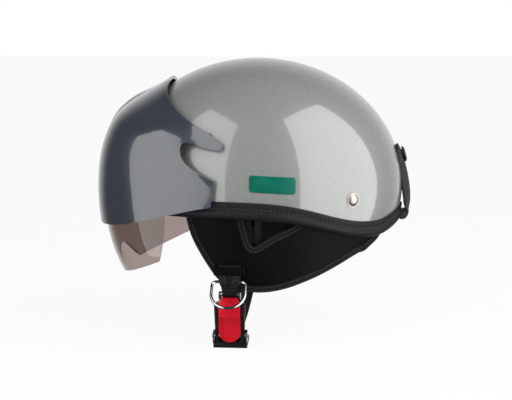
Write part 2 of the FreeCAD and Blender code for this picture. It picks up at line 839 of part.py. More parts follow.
def make_chin_strap_left():
    bar_x, bar_z = buckle_place(BAR_T, BAR_S)
    reach = BAR_RADIUS + WEB_PLAY
    line = []
    for z in (-60.8, -65.0, -70.0, -75.0, -79.0):
        line.append((strap_front_x(z) + BINDING_PROUD + WEB_PLAY, z))
    body = band_from_line(line + [(bar_x + reach, bar_z + 1.6)], -WEB_THICK)
    body = widened(body, WEB_WIDTH / 2.0)
    taper_low = bar_z - 8.0
    half, end = WEB_WIDTH / 2.0, STRAP_END_WIDTH / 2.0
    keep = side_polygon([
        (STRAP_MID_Y - half, -50.0),
        (STRAP_MID_Y - half, -71.5),
        (STRAP_MID_Y - end, bar_z + 2.0),
        (STRAP_MID_Y - end, taper_low),
        (STRAP_MID_Y + end, taper_low),
        (STRAP_MID_Y + end, bar_z + 2.0),
        (STRAP_MID_Y + half, -71.5),
        (STRAP_MID_Y + half, -50.0),
    ])
    start = Vector(bar_x, STRAP_MID_Y - end, bar_z)
    loop = cylinder(start, Y_AXIS, reach + WEB_THICK, 2.0 * end)
    loop = loop.cut(cylinder(start, Y_AXIS, reach, 2.0 * end))
    ring_start = Vector(ring_bar_x(), STRAP_MID_Y - 8.0, RING_BAR_Z)
    ring_reach = RING_WIRE + WEB_PLAY
    ring_loop = cylinder(ring_start, Y_AXIS, ring_reach + WEB_THICK, 16.0)
    body = body.common(through_x(keep)).fuse(loop).fuse(ring_loop)
    body = body.cut(cylinder(ring_start - Y_AXIS * 5.0, Y_AXIS, ring_reach, 26.0))
    return body.cut(cylinder(start - Y_AXIS * 5.0, Y_AXIS, reach, 30.0))


def keeper_block(low, high, half, z0, z1):
    points = [(strap_front_x(z0) + low, z0), (strap_front_x(z0) + high, z0)]
    points += [(strap_front_x(z1) + high, z1), (strap_front_x(z1) + low, z1)]
    corners = [Vector(x, STRAP_MID_Y - half, z) for x, z in points]
    return Part.Face(Part.makePolygon(corners + corners[:1])).extrude(Y_AXIS * 2.0 * half)


def make_strap_keeper(flap, binding):
    under = BINDING_PROUD + WEB_PLAY
    ceiling = under + WEB_THICK + KEEPER_ROOM
    block = keeper_block(-3.0, ceiling + KEEPER_WALL, KEEPER_WIDTH / 2.0, KEEPER_LOW_Z, KEEPER_HIGH_Z)
    slot = keeper_block(-3.1, ceiling, WEB_WIDTH / 2.0 + KEEPER_ROOM, KEEPER_LOW_Z - 3.0, KEEPER_HIGH_Z + 3.0)
    return block.cut(slot).cut(flap).cut(binding)


# Ring: a straight bar and a round bow

def make_d_ring():
    half = RING_HALF_WIDTH
    corner = 4.0
    depth = RING_DEPTH
    top_left = Vector(0, -half + corner, 0)
    top_right = Vector(0, half - corner, 0)
    edges = [Part.makeLine(top_left, top_right)]
    turn = corner * (1.0 - math.sqrt(0.5))
    edges.append(Part.Arc(top_right, Vector(0, half - turn, -turn), Vector(0, half, -corner)).toShape())
    shoulder = -depth + half
    edges.append(Part.makeLine(Vector(0, half, -corner), Vector(0, half, shoulder)))
    edges.append(Part.Arc(Vector(0, half, shoulder), Vector(0, 0, -depth), Vector(0, -half, shoulder)).toShape())
    edges.append(Part.makeLine(Vector(0, -half, shoulder), Vector(0, -half, -corner)))
    edges.append(Part.Arc(Vector(0, -half, -corner), Vector(0, -half + turn, -turn), top_left).toShape())
    spine = Part.Wire(edges)
    circle = Part.Circle(Vector(0, 0, 0), Y_AXIS, RING_WIRE)
    circle.Center = top_left
    ring = spine.makePipeShell([Part.Wire([circle.toShape()])], True, False)
    ring.rotate(NOWHERE, Y_AXIS, -RING_LEAN)
    ring.translate(Vector(ring_bar_x(), STRAP_MID_Y, RING_BAR_Z))
    return ring


# Buckle pieces, made upright with x as height t off the frame and -z as length s

def buckle_box(t0, t1, y0, y1, s0, s1):
    return box_between((t0, y0, -s1), (t1, y1, -s0))


def seat_buckle(shape):
    shape = shape.copy()
    shape.rotate(NOWHERE, Y_AXIS, BUCKLE_TILT)
    shape.translate(Vector(BUCKLE_TOP_X, STRAP_MID_Y, BUCKLE_TOP_Z))
    return shape


def cross_pin(radius, t, s, half):
    return cylinder(Vector(t, -half, -s), Y_AXIS, radius, 2.0 * half)


def make_buckle_frame():
    neck = 8.4
    base = buckle_box(0.0, FRAME_WALL, -FRAME_HALF_WIDTH, FRAME_HALF_WIDTH, COVER_TOP - 1.0, FRAME_END)
    base = base.fuse(buckle_box(0.0, FRAME_WALL, -neck - 1.2, neck + 1.2, FRAME_TOP, COVER_TOP - 0.9))
    window = buckle_box(-1.0, 9.0, -7.0, 7.0, FRAME_TOP - 1.0, COVER_TOP - 3.0)
    base = base.cut(window)
    wide = buckle_box(0.0, FRAME_WALL, -EAR_HALF_WIDTH, EAR_HALF_WIDTH, EAR_TOP, FRAME_END)
    base = base.fuse(wide)
    for side in (-1.0, 1.0):
        y0, y1 = sorted((side * EAR_HALF_WIDTH, side * (EAR_HALF_WIDTH - FRAME_WALL)))
        base = base.fuse(buckle_box(0.0, EAR_RISE, y0, y1, EAR_TOP, FRAME_END))
        y0, y1 = sorted((side * (neck + 1.2), side * (neck - 0.3)))
        base = base.fuse(buckle_box(0.0, BAR_T + 2.4, y0, y1, FRAME_TOP, 2.0))
    base = base.cut(cross_pin(PIN_RADIUS, PIN_T, PIN_S, 20.0))
    return base.cut(cross_pin(BAR_RADIUS, BAR_T, BAR_S, 20.0))


def make_buckle_bar():
    return cross_pin(BAR_RADIUS, BAR_T, BAR_S, 9.6)


def make_buckle_cover():
    corners = [
        (-COVER_HALF_TOP, -COVER_TOP),
        (COVER_HALF_TOP, -COVER_TOP),
        (COVER_HALF_LOW, -FRAME_END),
        (-COVER_HALF_LOW, -FRAME_END),
    ]
    points = [Vector(FRAME_WALL, y, z) for y, z in corners + corners[:1]]
    block = Part.Face(Part.makePolygon(points)).extrude(Vector(COVER_RISE - FRAME_WALL, 0, 0))
    half = LEVER_HALF_WIDTH + LEVER_PLAY
    well = buckle_box(FRAME_WALL - 1.0, 20.0, -half, half, COVER_TOP - 1.0, LEVER_END + LEVER_PLAY)
    mouth = buckle_box(0.0, FRAME_WALL + TONGUE_LIFT + TONGUE_THICK + TOOTH_RISE + 0.4,
                       -TONGUE_HALF_WIDTH - 0.4, TONGUE_HALF_WIDTH + 0.4, FRAME_END - 2.0, FRAME_END + 1.0)
    block = block.cut(well).cut(mouth)
    return block.cut(cross_pin(PIN_RADIUS + PIN_PLAY, PIN_T, PIN_S, 20.0))


def make_buckle_lever():
    half = LEVER_HALF_WIDTH
    end_centre = LEVER_END - half
    body = buckle_box(LEVER_LOW_T, LEVER_HIGH_T, -half, half, LEVER_TOP, end_centre)
    body = body.fuse(cylinder(Vector(LEVER_LOW_T, 0, -end_centre), X_AXIS, half, LEVER_HIGH_T - LEVER_LOW_T))
    nose = Part.makePolygon([
        Vector(LEVER_LOW_T - 1, -half - 1, -LEVER_TOP - 6.5),
        Vector(LEVER_LOW_T - 1, -half - 1, -LEVER_TOP + 1),
        Vector(LEVER_LOW_T - 1, -5.6, -LEVER_TOP + 1),
        Vector(LEVER_LOW_T - 1, -half - 1, -LEVER_TOP - 6.5),
    ])
    bevel = Part.Face(nose).extrude(Vector(12, 0, 0))
    body = body.cut(bevel).cut(bevel.mirror(NOWHERE, Y_AXIS))
    panel = buckle_box(LEVER_HIGH_T - LEVER_PANEL_DEPTH, 20.0, -6.6, 6.6, LEVER_STEP + 2.6, LEVER_END - 3.4)
    body = body.cut(panel)
    grip = cross_pin(1.1, LEVER_HIGH_T - 0.2, LEVER_STEP, LEVER_HALF_WIDTH - 1.0)
    body = body.fuse(grip)
    pawl_low = FRAME_WALL + TONGUE_LIFT + TONGUE_THICK + TOOTH_RISE + TONGUE_LIFT
    pawl = buckle_box(pawl_low, LEVER_LOW_T + 0.5, -5.0, 5.0, 25.4, 27.2)
    body = body.fuse(pawl)
    hollow = buckle_box(0.0, LEVER_LOW_T + 2.6, -3.6, 3.6, 9.0, 23.0)
    nose_room = buckle_box(0.0, LEVER_LOW_T + 2.2, -20.0, 20.0, LEVER_TOP - 1.0, LEVER_TOP + 4.0)
    heel_room = buckle_box(0.0, LEVER_LOW_T + 2.4, -20.0, 20.0, PIN_S + 2.4, LEVER_END + 1.0)
    body = body.cut(nose_room).cut(heel_room)
    return body.cut(hollow).cut(cross_pin(PIN_RADIUS + PIN_PLAY, PIN_T, PIN_S, 20.0))


def make_lever_pin():
    return cross_pin(PIN_RADIUS, PIN_T, PIN_S, EAR_HALF_WIDTH + 0.9)


def make_lever_spring():
    low = FRAME_WALL + TONGUE_LIFT + TONGUE_THICK + TOOTH_RISE + 0.3
    high = LEVER_LOW_T + 2.6 - 0.3
    points = [Vector(low, 0, -9.6), Vector(0.5 * (low + high) + 0.6, 0, -13.0), Vector(high - 0.5, 0, -16.0)]
    points += [Vector(0.5 * (low + high) + 0.6, 0, -19.0), Vector(low, 0, -22.4)]
    top = Part.BSplineCurve()
    top.interpolate([p + Vector(0.5, 0, 0) for p in points])
    under = Part.BSplineCurve()
    under.interpolate(points)
    ends = [Part.makeLine(points[0], points[0] + Vector(0.5, 0, 0))]
    ends.append(Part.makeLine(points[-1], points[-1] + Vector(0.5, 0, 0)))
    face = Part.Face(Part.Wire(Part.__sortEdges__([top.toShape(), under.toShape()] + ends)))
    face.translate(Vector(0, -3.0, 0))
    return face.extrude(Vector(0, 6.0, 0))


def make_tongue_strip():
    low = FRAME_WALL + TONGUE_LIFT
    high = low + TONGUE_THICK
    half = TONGUE_HALF_WIDTH
    strip = buckle_box(low, high, -half, half, TONGUE_TOP, HOLDER_TOP)
    for i in range(TOOTH_COUNT):
        s = TONGUE_TOP + 3.0 + i * TOOTH_PITCH
        tooth = Part.makePolygon([
            Vector(high - 0.1, 1.0 - half, -s),
            Vector(high + TOOTH_RISE, 1.0 - half, -s - TOOTH_PITCH * 0.75),
            Vector(high - 0.1, 1.0 - half, -s - TOOTH_PITCH * 0.75),
            Vector(high - 0.1, 1.0 - half, -s),
        ])
        strip = strip.fuse(Part.Face(tooth).extrude(Vector(0, 2.0 * half - 2.0, 0)))
    return strip


def make_tongue_holder():
    half = HOLDER_HALF_WIDTH
    plate = buckle_box(HOLDER_BACK_T, HOLDER_FRONT_T, -half, half, HOLDER_TOP, HOLDER_END)
    slot = buckle_box(HOLDER_BACK_T + 3.0, HOLDER_BACK_T + 6.4, -WEB_WIDTH / 2.0 - 0.5, WEB_WIDTH / 2.0 + 0.5,
                      HOLDER_TOP - 1.0, HOLDER_END + 1.0)
    return plate.cut(slot)


STRAP_ROUTE = [
    (74.5, -131.8), (74.9, -127.4), (71.4, -122.6), (62.0, -120.0), (42.0, -118.4), (14.0, -115.2),
    (-20.0, -109.5), (-58.0, -101.0), (-84.5, -92.6), (-94.4, -87.4),
]


def make_chin_strap_right():
    line = list(STRAP_ROUTE)
    for z in (-80.0, -74.0, -68.0, -60.8):
        line.append((-strap_front_x(z) - BINDING_PROUD - WEB_PLAY - WEB_THICK, z))
    return widened(band_from_line(line, WEB_THICK), WEB_WIDTH / 2.0)


# Goggle strap at the rear, its snap and its sewn end

GOGGLE_LINE = [(130.9, 37.6), (134.4, 31.0), (137.6, 20.8), (140.7, 7.5), (142.5, -5.0), (142.7, -14.0), (GOGGLE_HINGE_Y, GOGGLE_HINGE_Z)]


def make_goggle_strap():
    outer = side_edge(GOGGLE_LINE)
    under = []
    for i, (y, z) in enumerate(GOGGLE_LINE):
        before = GOGGLE_LINE[max(0, i - 1)]
        after = GOGGLE_LINE[min(len(GOGGLE_LINE) - 1, i + 1)]
        dy, dz = after[0] - before[0], after[1] - before[1]
        size = math.hypot(dy, dz)
        under.append((y + dz / size * GOGGLE_THICK, z - dy / size * GOGGLE_THICK))
    inner = side_edge(under)
    face = side_face(Part.__sortEdges__([outer, inner, side_line(GOGGLE_LINE[0], under[0]), side_line(GOGGLE_LINE[-1], under[-1])]))
    strap = through_x(face, -GOGGLE_HALF_WIDTH, GOGGLE_HALF_WIDTH)
    return strap.cut(dome(0.35))


def snap_spot():
    return Vector(0, dome_rear_y(SNAP_Z), SNAP_Z)


def snap_normal():
    return dome_normal_at(snap_spot())


def make_snap_stud():
    spot, normal = snap_spot(), snap_normal()
    stud = cylinder(spot - normal * 1.5, normal, SNAP_POST_RADIUS + 2.0, 2.0)
    stud = stud.cut(dome(0.0))
    post = cylinder(spot - normal * 1.2, normal, SNAP_POST_RADIUS, 3.6)
    return stud.fuse(post.cut(dome(0.0)))


def snap_clear(radius):
    spot, normal = snap_spot(), snap_normal()
    return cylinder(spot - normal * 3.0, normal, radius, 20.0)


def make_snap_cap():
    spot, normal = snap_spot(), snap_normal()
    start = spot + normal * SNAP_CAP_LIFT
    cap = cylinder(start, normal, SNAP_CAP_RADIUS, SNAP_CAP_RISE)
    rim = Part.makeSphere(14.0, start + normal * (SNAP_CAP_RISE - 13.2))
    cap = cap.common(rim)
    sleeve = cylinder(spot + normal * 1.4, normal, SNAP_POST_RADIUS + SNAP_PLAY + 1.0, SNAP_CAP_LIFT - 1.2)
    bore = cylinder(spot, normal, SNAP_POST_RADIUS + SNAP_PLAY, 3.2)
    return cap.fuse(sleeve).cut(bore)


def make_strap_anchor(trim):
    outer = [(GOGGLE_HINGE_Y - 0.2, GOGGLE_HINGE_Z - 0.7), (140.4, -26.4), (137.9, -29.6), (135.6, -30.4)]
    edges = [side_edge(outer)]
    corners = [outer[-1], (128.0, -30.4), (128.0, GOGGLE_HINGE_Z - 0.7), outer[0]]
    for start, end in zip(corners, corners[1:]):
        edges.append(side_line(start, end))
    block = through_x(side_face(edges), -GOGGLE_HALF_WIDTH, GOGGLE_HALF_WIDTH)
    return block.cut(dome(TRIM_OUTER)).cut(trim)


def make_side_label():
    return layer(LABEL_THICK, 0.0).common(through_x(side_polygon(LABEL_CORNERS), 1.0, FAR))


def main():
    drills = [make_peak_screw(y, z) for y, z in PEAK_SCREW_PLACES]
    screws = drills + [mirrored(s) for s in drills]
    rivet_places = (REAR_RIVET_PLACE, FRONT_RIVET_PLACE)
    holes = [rivet_hole(p) for p in rivet_places]
    holes += [mirrored(h) for h in holes]

    shell = make_outer_shell().cut(screws + holes)
    trim = make_edge_trim()
    pockets = [washer_pocket(p) for p in rivet_places] + [branch_pocket()]
    for y, z in PEAK_SCREW_PLACES:
        pockets.append(cylinder(dome_point(y, z) - dome_normal(y, z) * 7.0, dome_normal(y, z), SCREW_HEAD_RADIUS + 1.0, 7.0))
    pockets += [mirrored(p) for p in pockets]
    save("outer_shell", shell)
    save("edge_trim", trim)
    save("eps_liner", make_eps_liner(pockets))
    save("comfort_crown", make_comfort_crown())
    save("comfort_band", make_comfort_band())

    rail = make_lens_rail()
    save("lens_rails", group([rail, mirrored(rail)]))
    save("sun_lens", make_sun_lens())
    save("peak", make_peak(screws))
    save("peak_screws", group(screws))
    spacers = [make_peak_spacer(y, z) for y, z in PEAK_SCREW_PLACES]
    save("peak_spacers", group(spacers + [mirrored(s) for s in spacers]))

    rear = make_rivet(REAR_RIVET_PLACE, True)
    front = make_rivet(FRONT_RIVET_PLACE, False)
    save("rear_rivets", group([rear, mirrored(rear)]))
    save("front_rivets", group([front, mirrored(front)]))
    washers = [make_washer(p) for p in rivet_places]
    save("rivet_washers", group(washers + [mirrored(w) for w in washers]))

    flap = make_ear_flap()
    binding = make_flap_binding(flap)
    ear = make_ear_binding(flap)
    front_branch, rear_branch = make_branches()
    keeper = make_strap_keeper(flap, binding)
    pairs = [("ear_flap", flap), ("flap_binding", binding), ("ear_binding", ear)]
    pairs += [("front_branch", front_branch), ("rear_branch", rear_branch), ("strap_keeper", keeper)]
    for name, shape in pairs:
        save(name + "_left", shape)
        save(name + "_right", mirrored(shape))
    tapes = make_ear_tapes()
    save("ear_tapes", group(tapes + [mirrored(t) for t in tapes]))
    save("chin_strap_left", make_chin_strap_left())
    save("chin_strap_right", make_chin_strap_right())

    save("d_ring", make_d_ring())
    save("buckle_frame", seat_buckle(make_buckle_frame()))
    save("buckle_bar", seat_buckle(make_buckle_bar()))
    save("buckle_cover", seat_buckle(make_buckle_cover()))
    save("buckle_lever", seat_buckle(make_buckle_lever()))
    save("lever_pin", seat_buckle(make_lever_pin()))
    save("lever_spring", seat_buckle(make_lever_spring()))
    save("tongue_strip", seat_buckle(make_tongue_strip()))
    save("tongue_holder", seat_buckle(make_tongue_holder()))

    cap = make_snap_cap()
    save("snap_cap", cap)
    save("goggle_strap", make_goggle_strap().cut(snap_clear(SNAP_POST_RADIUS + SNAP_PLAY + 1.0)).cut(cap))
    save("snap_stud", make_snap_stud())
    save("strap_anchor", make_strap_anchor(trim))
    save("side_label", make_side_label())


main()
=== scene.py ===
"""Half shell motorcycle helmet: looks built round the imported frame, laid out as an add-on."""
import math
from contextlib import contextmanager

import bmesh
import bpy
from mathutils import Matrix, Vector
from mathutils.geometry import interpolate_bezier


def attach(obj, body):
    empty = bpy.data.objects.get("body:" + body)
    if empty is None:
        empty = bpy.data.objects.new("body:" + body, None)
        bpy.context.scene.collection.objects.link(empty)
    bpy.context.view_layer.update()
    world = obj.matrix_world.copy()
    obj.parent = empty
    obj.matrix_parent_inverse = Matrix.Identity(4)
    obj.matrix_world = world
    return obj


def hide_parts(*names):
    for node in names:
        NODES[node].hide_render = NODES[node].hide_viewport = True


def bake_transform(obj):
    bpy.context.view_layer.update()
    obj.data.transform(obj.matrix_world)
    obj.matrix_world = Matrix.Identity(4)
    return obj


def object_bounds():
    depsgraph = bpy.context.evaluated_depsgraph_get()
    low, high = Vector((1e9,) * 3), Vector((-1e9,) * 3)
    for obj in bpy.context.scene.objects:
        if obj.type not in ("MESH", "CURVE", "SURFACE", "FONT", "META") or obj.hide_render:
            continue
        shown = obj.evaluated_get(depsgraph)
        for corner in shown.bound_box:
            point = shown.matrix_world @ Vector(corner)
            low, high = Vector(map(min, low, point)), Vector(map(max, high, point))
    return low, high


bl_info = {
    "name": "Half Helmet Maker",
    "version": (1, 0, 0),
    "blender": (4, 5, 0),
    "location": "3D View > Sidebar > Helmet",
    "description": "Builds the shell, lens, peak, leather, straps and buckle of an open half helmet",
    "category": "Object",
}

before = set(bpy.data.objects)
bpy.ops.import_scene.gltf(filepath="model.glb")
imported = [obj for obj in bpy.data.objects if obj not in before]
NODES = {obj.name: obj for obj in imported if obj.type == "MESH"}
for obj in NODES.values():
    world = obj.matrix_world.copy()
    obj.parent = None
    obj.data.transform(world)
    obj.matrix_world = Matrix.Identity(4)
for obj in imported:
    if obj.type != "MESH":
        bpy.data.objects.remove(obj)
CAD_BOX = [list(corner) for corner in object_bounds()]
MM = 0.001

# Dome, rim and skirt: the same rules that the solids follow, in millimetres
HALF_WIDTH, HALF_LENGTH, DOME_MID_Y, CROWN_HEIGHT = 109.0, 133.0, 2.0, 116.0
SHELL_WALL = 3.5
ROLL_RADIUS, ROLL_OUTSET = 4.3, 0.8
FLAP_DEPTH_IN, FLAP_WALL, FLAP_LEAN = 2.6, 4.0, 0.14
BINDING_PROUD = 0.9
STRAP_MID_Y = -14.5
FLAP_FRONT = [(-54.2, -13.0), (-52.6, -22.0), (-49.6, -34.0), (-45.4, -43.6), (-39.4, -54.3), (-33.0, -64.4)]
FLAP_LOW = [(-25.6, -74.0), (-14.0, -81.6), (2.2, -85.2), (17.0, -85.4), (32.5, -82.7), (46.0, -78.4), (62.4, -72.0),
            (80.0, -63.6), (96.0, -55.6)]
FLAP_REAR = [(101.0, -54.8), (106.5, -50.8), (112.0, -46.4), (117.0, -40.4)]
EAR_LINE = [(-3.6, -13.0), (-1.5, -21.4), (0.8, -31.0), (5.0, -43.4), (9.0, -43.4), (22.0, -35.2), (41.0, -25.8),
            (52.0, -17.0)]
EAR_MIDDLE = (16.0, -24.0)
STRAP_ROUTE = [(74.5, -131.8), (74.9, -127.4), (71.4, -122.6), (62.0, -120.0), (42.0, -118.4), (14.0, -115.2),
               (-20.0, -109.5), (-58.0, -101.0), (-84.5, -92.6), (-94.4, -87.4)]
STRAP_JOIN_X = 14.0
GOGGLE_LINE = [(130.9, 37.6), (134.4, 31.0), (137.6, 20.8), (140.7, 7.5), (142.5, -5.0), (142.7, -14.0), (141.4, -22.5)]
GOGGLE_HALF_WIDTH = 14.0
GOGGLE_CURL_LEAST, GOGGLE_CURL_MORE = 0.6, 5.2
RIM_SIDE_Z, RIM_DIP, RIM_DIP_Y, RIM_RUN_FRONT, RIM_RUN_REAR = -15.2, 21.2, 110.0, 56.0, 32.0
LINER_DEPTH, BAND_LIFT, BAND_TOP_Z, CROWN_FROM_Z = 20.4, 16.3, 37.6, 50.4
LABEL_CORNERS = [(3.5, 18.2), (42.9, 16.0), (42.6, 1.6), (3.6, 3.9)]
LABEL_LENGTH, LABEL_CORNER_RADIUS, LABEL_PROUD, LABEL_SUNK = 39.0, 2.2, 0.42, -0.1
REAR_RIVET_PLACE, RIVET_GROWTH = (90.9, -5.1), 1.15
WEB_THICK, WEB_PLAY, STRAP_END_WIDTH, STRAP_NARROWS_Z = 1.6, 0.3, 12.5, -71.5
BUCKLE_TOP_X, BUCKLE_TOP_Z, BUCKLE_TILT = 92.0, -87.5, 8.0
BAR_T, BAR_S, BAR_RADIUS = 2.6, -1.2, 1.5
RING_BAR_Z, RING_WIRE = -75.0, 1.3
KEEPER_HEIGHTS = (-80.0, -74.0, -68.0, -60.8)

# Stage: metres, but millimetres for the sensor and for the distance and width of the photographed view
CAMERA_AIM, CAMERA_PLACE = (0.0019, 0.0002, -0.0157), (1.139, 0.0997, 0.1244)
SENSOR_WIDTH, PHOTO_DISTANCE, PHOTO_WIDTH = 36.0, 1150.0, 476.7
FLOOR_REACH, FLOOR_DROP, FLOOR_WHITE = 40.0, 0.0006, 0.93
ROOM_LIGHT = 0.24
ROOM_SEEN_FROM, ROOM_SEEN_TO = (-0.45, 0.07), (-0.97, 0.75)
PANELS = (("front_panel", -60.0, 0.8, (-0.08, 0.7), (-0.45, 1.4), 2.2),
          ("rear_panel", 65.0, 0.8, (-0.58, 0.47), (-0.6, 1.6), 3.1))


def rim_z(y):
    run = RIM_RUN_FRONT if y < RIM_DIP_Y else RIM_RUN_REAR
    return RIM_SIDE_Z - RIM_DIP * math.exp(-((y - RIM_DIP_Y) / run) ** 2)


def dome_spot(turn, rise, grow):
    """A point of the dome grown by some millimetres; turn goes round from +X, rise goes up from the equator."""
    flat = math.cos(rise)
    x = (HALF_WIDTH + grow) * flat * math.cos(turn)
    y = DOME_MID_Y + (HALF_LENGTH + grow) * flat * math.sin(turn)
    return Vector((x, y, (CROWN_HEIGHT + grow) * math.sin(rise)))


def rise_at_rim(turn, lift, grow):
    rise = -0.1
    for _ in range(8):
        y = dome_spot(turn, rise, grow).y
        rise = math.asin(max(-0.9, min(0.9, (rim_z(y) + lift) / (CROWN_HEIGHT + grow))))
    return rise


def rim_spot(turn, lift, grow):
    return dome_spot(turn, rise_at_rim(turn, lift, grow), grow)


def dome_side(y, z, grow=0.0):
    """The point of the dome's left side that shows at (y, z) from the side."""
    part = 1.0 - ((y - DOME_MID_Y) / (HALF_LENGTH + grow)) ** 2 - (z / (CROWN_HEIGHT + grow)) ** 2
    return Vector(((HALF_WIDTH + grow) * math.sqrt(max(0.0, part)), y, z))


def skirt_spot(y, z, depth):
    """The ear flap's surface at (y, z) in the side view, some depth inside its outer face."""
    inset = -SHELL_WALL - FLAP_DEPTH_IN - depth
    turn = math.asin(max(-1.0, min(1.0, (y - DOME_MID_Y) / HALF_LENGTH)))
    for _ in range(12):
        bend = rim_z(DOME_MID_Y + HALF_LENGTH * math.sin(turn)) - ROLL_RADIUS
        lean = FLAP_LEAN * max(0.0, bend - z)
        part = math.sqrt(1.0 - (max(z, bend) / (CROWN_HEIGHT + inset)) ** 2)
        reach = (HALF_LENGTH + inset) * part - lean
        turn = math.asin(max(-1.0, min(1.0, (y - DOME_MID_Y) / reach)))
    return Vector((((HALF_WIDTH + inset) * part - lean) * math.cos(turn), y, z))


def strap_front_x(z):
    bend = rim_z(DOME_MID_Y) - ROLL_RADIUS
    inset = -SHELL_WALL - FLAP_DEPTH_IN
    part = math.sqrt(1.0 - (max(z, bend) / (CROWN_HEIGHT + inset)) ** 2)
    return (HALF_WIDTH + inset) * part - FLAP_LEAN * max(0.0, bend - z)


# Curves and lattices

def run_at(line, k):
    """The direction in which a line runs past its point k."""
    return (line[min(len(line) - 1, k + 1)] - line[max(0, k - 1)]).normalized()


def smooth_line(points, per_span=8):
    """A curve through the points, as a list of points: each span leaves along its neighbours' chord."""
    points = [Vector(p) for p in points]
    line = []
    for i in range(len(points) - 1):
        before, after = points[max(0, i - 1)], points[min(len(points) - 1, i + 2)]
        start, end = points[i], points[i + 1]
        size = (end - start).length
        lead = (end - before).normalized() * size / 3.0
        trail = (after - start).normalized() * size / 3.0
        run = interpolate_bezier(start, start + lead, end - trail, end, per_span + 1)
        line += run if not line else run[1:]
    return line


def evenly(line, step):
    """The same line with points at an even spacing."""
    lengths = [0.0]
    for a, b in zip(line, line[1:]):
        lengths.append(lengths[-1] + (b - a).length)
    count = max(2, round(lengths[-1] / step))
    result, k = [], 0
    for i in range(count + 1):
        want = lengths[-1] * i / count
        while k < len(line) - 2 and lengths[k + 1] < want:
            k += 1
        share = (want - lengths[k]) / max(1e-9, lengths[k + 1] - lengths[k])
        result.append(line[k].lerp(line[k + 1], min(1.0, max(0.0, share))))
    return result


def lattice(name, rows, wrap_rows=False, wrap_columns=False, cap=False, uvs=None):
    """A mesh object from rows of points in millimetres, with an even UV map unless uvs gives one."""
    count, width = len(rows), len(rows[0])
    mesh = bpy.data.meshes.new(name)
    points = [tuple(p * MM) for row in rows for p in row]
    faces, corners = [], []
    for i in range(count if wrap_rows else count - 1):
        for j in range(width if wrap_columns else width - 1):
            n, m = (i + 1) % count, (j + 1) % width
            faces.append((i * width + j, n * width + j, n * width + m, i * width + m))
            corners += [(i, j), (i + 1, j), (i + 1, j + 1), (i, j + 1)]
    if cap:
        for i in (0, count - 1):
            faces.append(tuple(i * width + j for j in range(width)))
            corners += [(i, j) for j in range(width)]
    mesh.from_pydata(points, [], faces)
    layer = mesh.uv_layers.new(name="UVMap")
    for k, (i, j) in enumerate(corners):
        layer.data[k].uv = uvs(i, j) if uvs else (i / max(1, count - 1), j / max(1, width - 1))
    return tidy(placed(name, mesh))


def placed(name, data):
    """A new object in the scene."""
    piece = bpy.data.objects.new(name, data)
    bpy.context.scene.collection.objects.link(piece)
    return piece


@contextmanager
def edited(mesh):
    """The mesh opened for changes, which are written back at the end."""
    work = bmesh.new()
    work.from_mesh(mesh)
    yield work
    work.to_mesh(mesh)
    work.free()


def tidy(piece):
    """Merges doubles and turns the faces outward."""
    with edited(piece.data) as work:
        bmesh.ops.remove_doubles(work, verts=work.verts, dist=1e-6)
        bmesh.ops.recalc_face_normals(work, faces=work.faces)
    piece.data.shade_smooth()
    return piece


def smoothed(piece, angle):
    """Smooth faces, with sharp edges where they meet at more than some degrees."""
    piece.data.shade_smooth()
    piece.data.set_sharp_from_angle(angle=math.radians(angle))
    return piece


def across(start, centre, turn_from, turn_to, steps, radius):
    """Points of an arc in a section, as (x, y) pairs."""
    spots = []
    for i in range(steps + 1):
        turn = math.radians(turn_from + (turn_to - turn_from) * i / steps)
        spots.append((centre[0] + radius * math.cos(turn), centre[1] + radius * math.sin(turn)))
    return start + spots


def finished(piece, material, body, replaces=()):
    piece.data.materials.clear()
    piece.data.materials.append(material)
    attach(piece, body)
    if replaces:
        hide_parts(*replaces)
    return piece


def baked(piece):
    """Applies every modifier of a piece and leaves a plain mesh."""
    graph = bpy.context.evaluated_depsgraph_get()
    mesh = bpy.data.meshes.new_from_object(piece.evaluated_get(graph), depsgraph=graph)
    piece.modifiers.clear()
    old = piece.data
    piece.data = mesh
    bpy.data.meshes.remove(old)
    return piece


def copy_of(node, name):
    """A merged copy of a CAD node's mesh, ready for modifiers."""
    piece = placed(name, NODES[node].data.copy())
    piece.data.materials.clear()
    with edited(piece.data) as work:
        bmesh.ops.remove_doubles(work, verts=work.verts, dist=2e-5)
    if piece.data.has_custom_normals:
        with bpy.context.temp_override(object=piece, active_object=piece, selected_objects=[piece]):
            bpy.context.view_layer.objects.active = piece
            bpy.ops.mesh.customdata_custom_splitnormals_clear()
    return piece


def softened_copy(node, name, bevel):
    """A CAD node's copy with flat areas joined and its edges rounded."""
    piece = copy_of(node, name)
    with edited(piece.data) as work:
        bmesh.ops.dissolve_limit(work, angle_limit=math.radians(1.5), verts=work.verts, edges=work.edges)
    rounding = piece.modifiers.new("Edge rounding", "BEVEL")
    rounding.width = bevel * MM
    rounding.segments = 3
    rounding.limit_method = "ANGLE"
    rounding.angle_limit = math.radians(28.0)
    return smoothed(baked(piece), 34.0)


def evened(piece, size):
    """Gives a piece an even grid, of a size in metres, and softens it."""
    grid = piece.modifiers.new("Even grid", "REMESH")
    grid.mode, grid.voxel_size = "VOXEL", size
    soft = piece.modifiers.new("Soften", "SMOOTH")
    soft.factor, soft.iterations = 0.5, 4
    return baked(piece)


# Shader maths as Python expressions

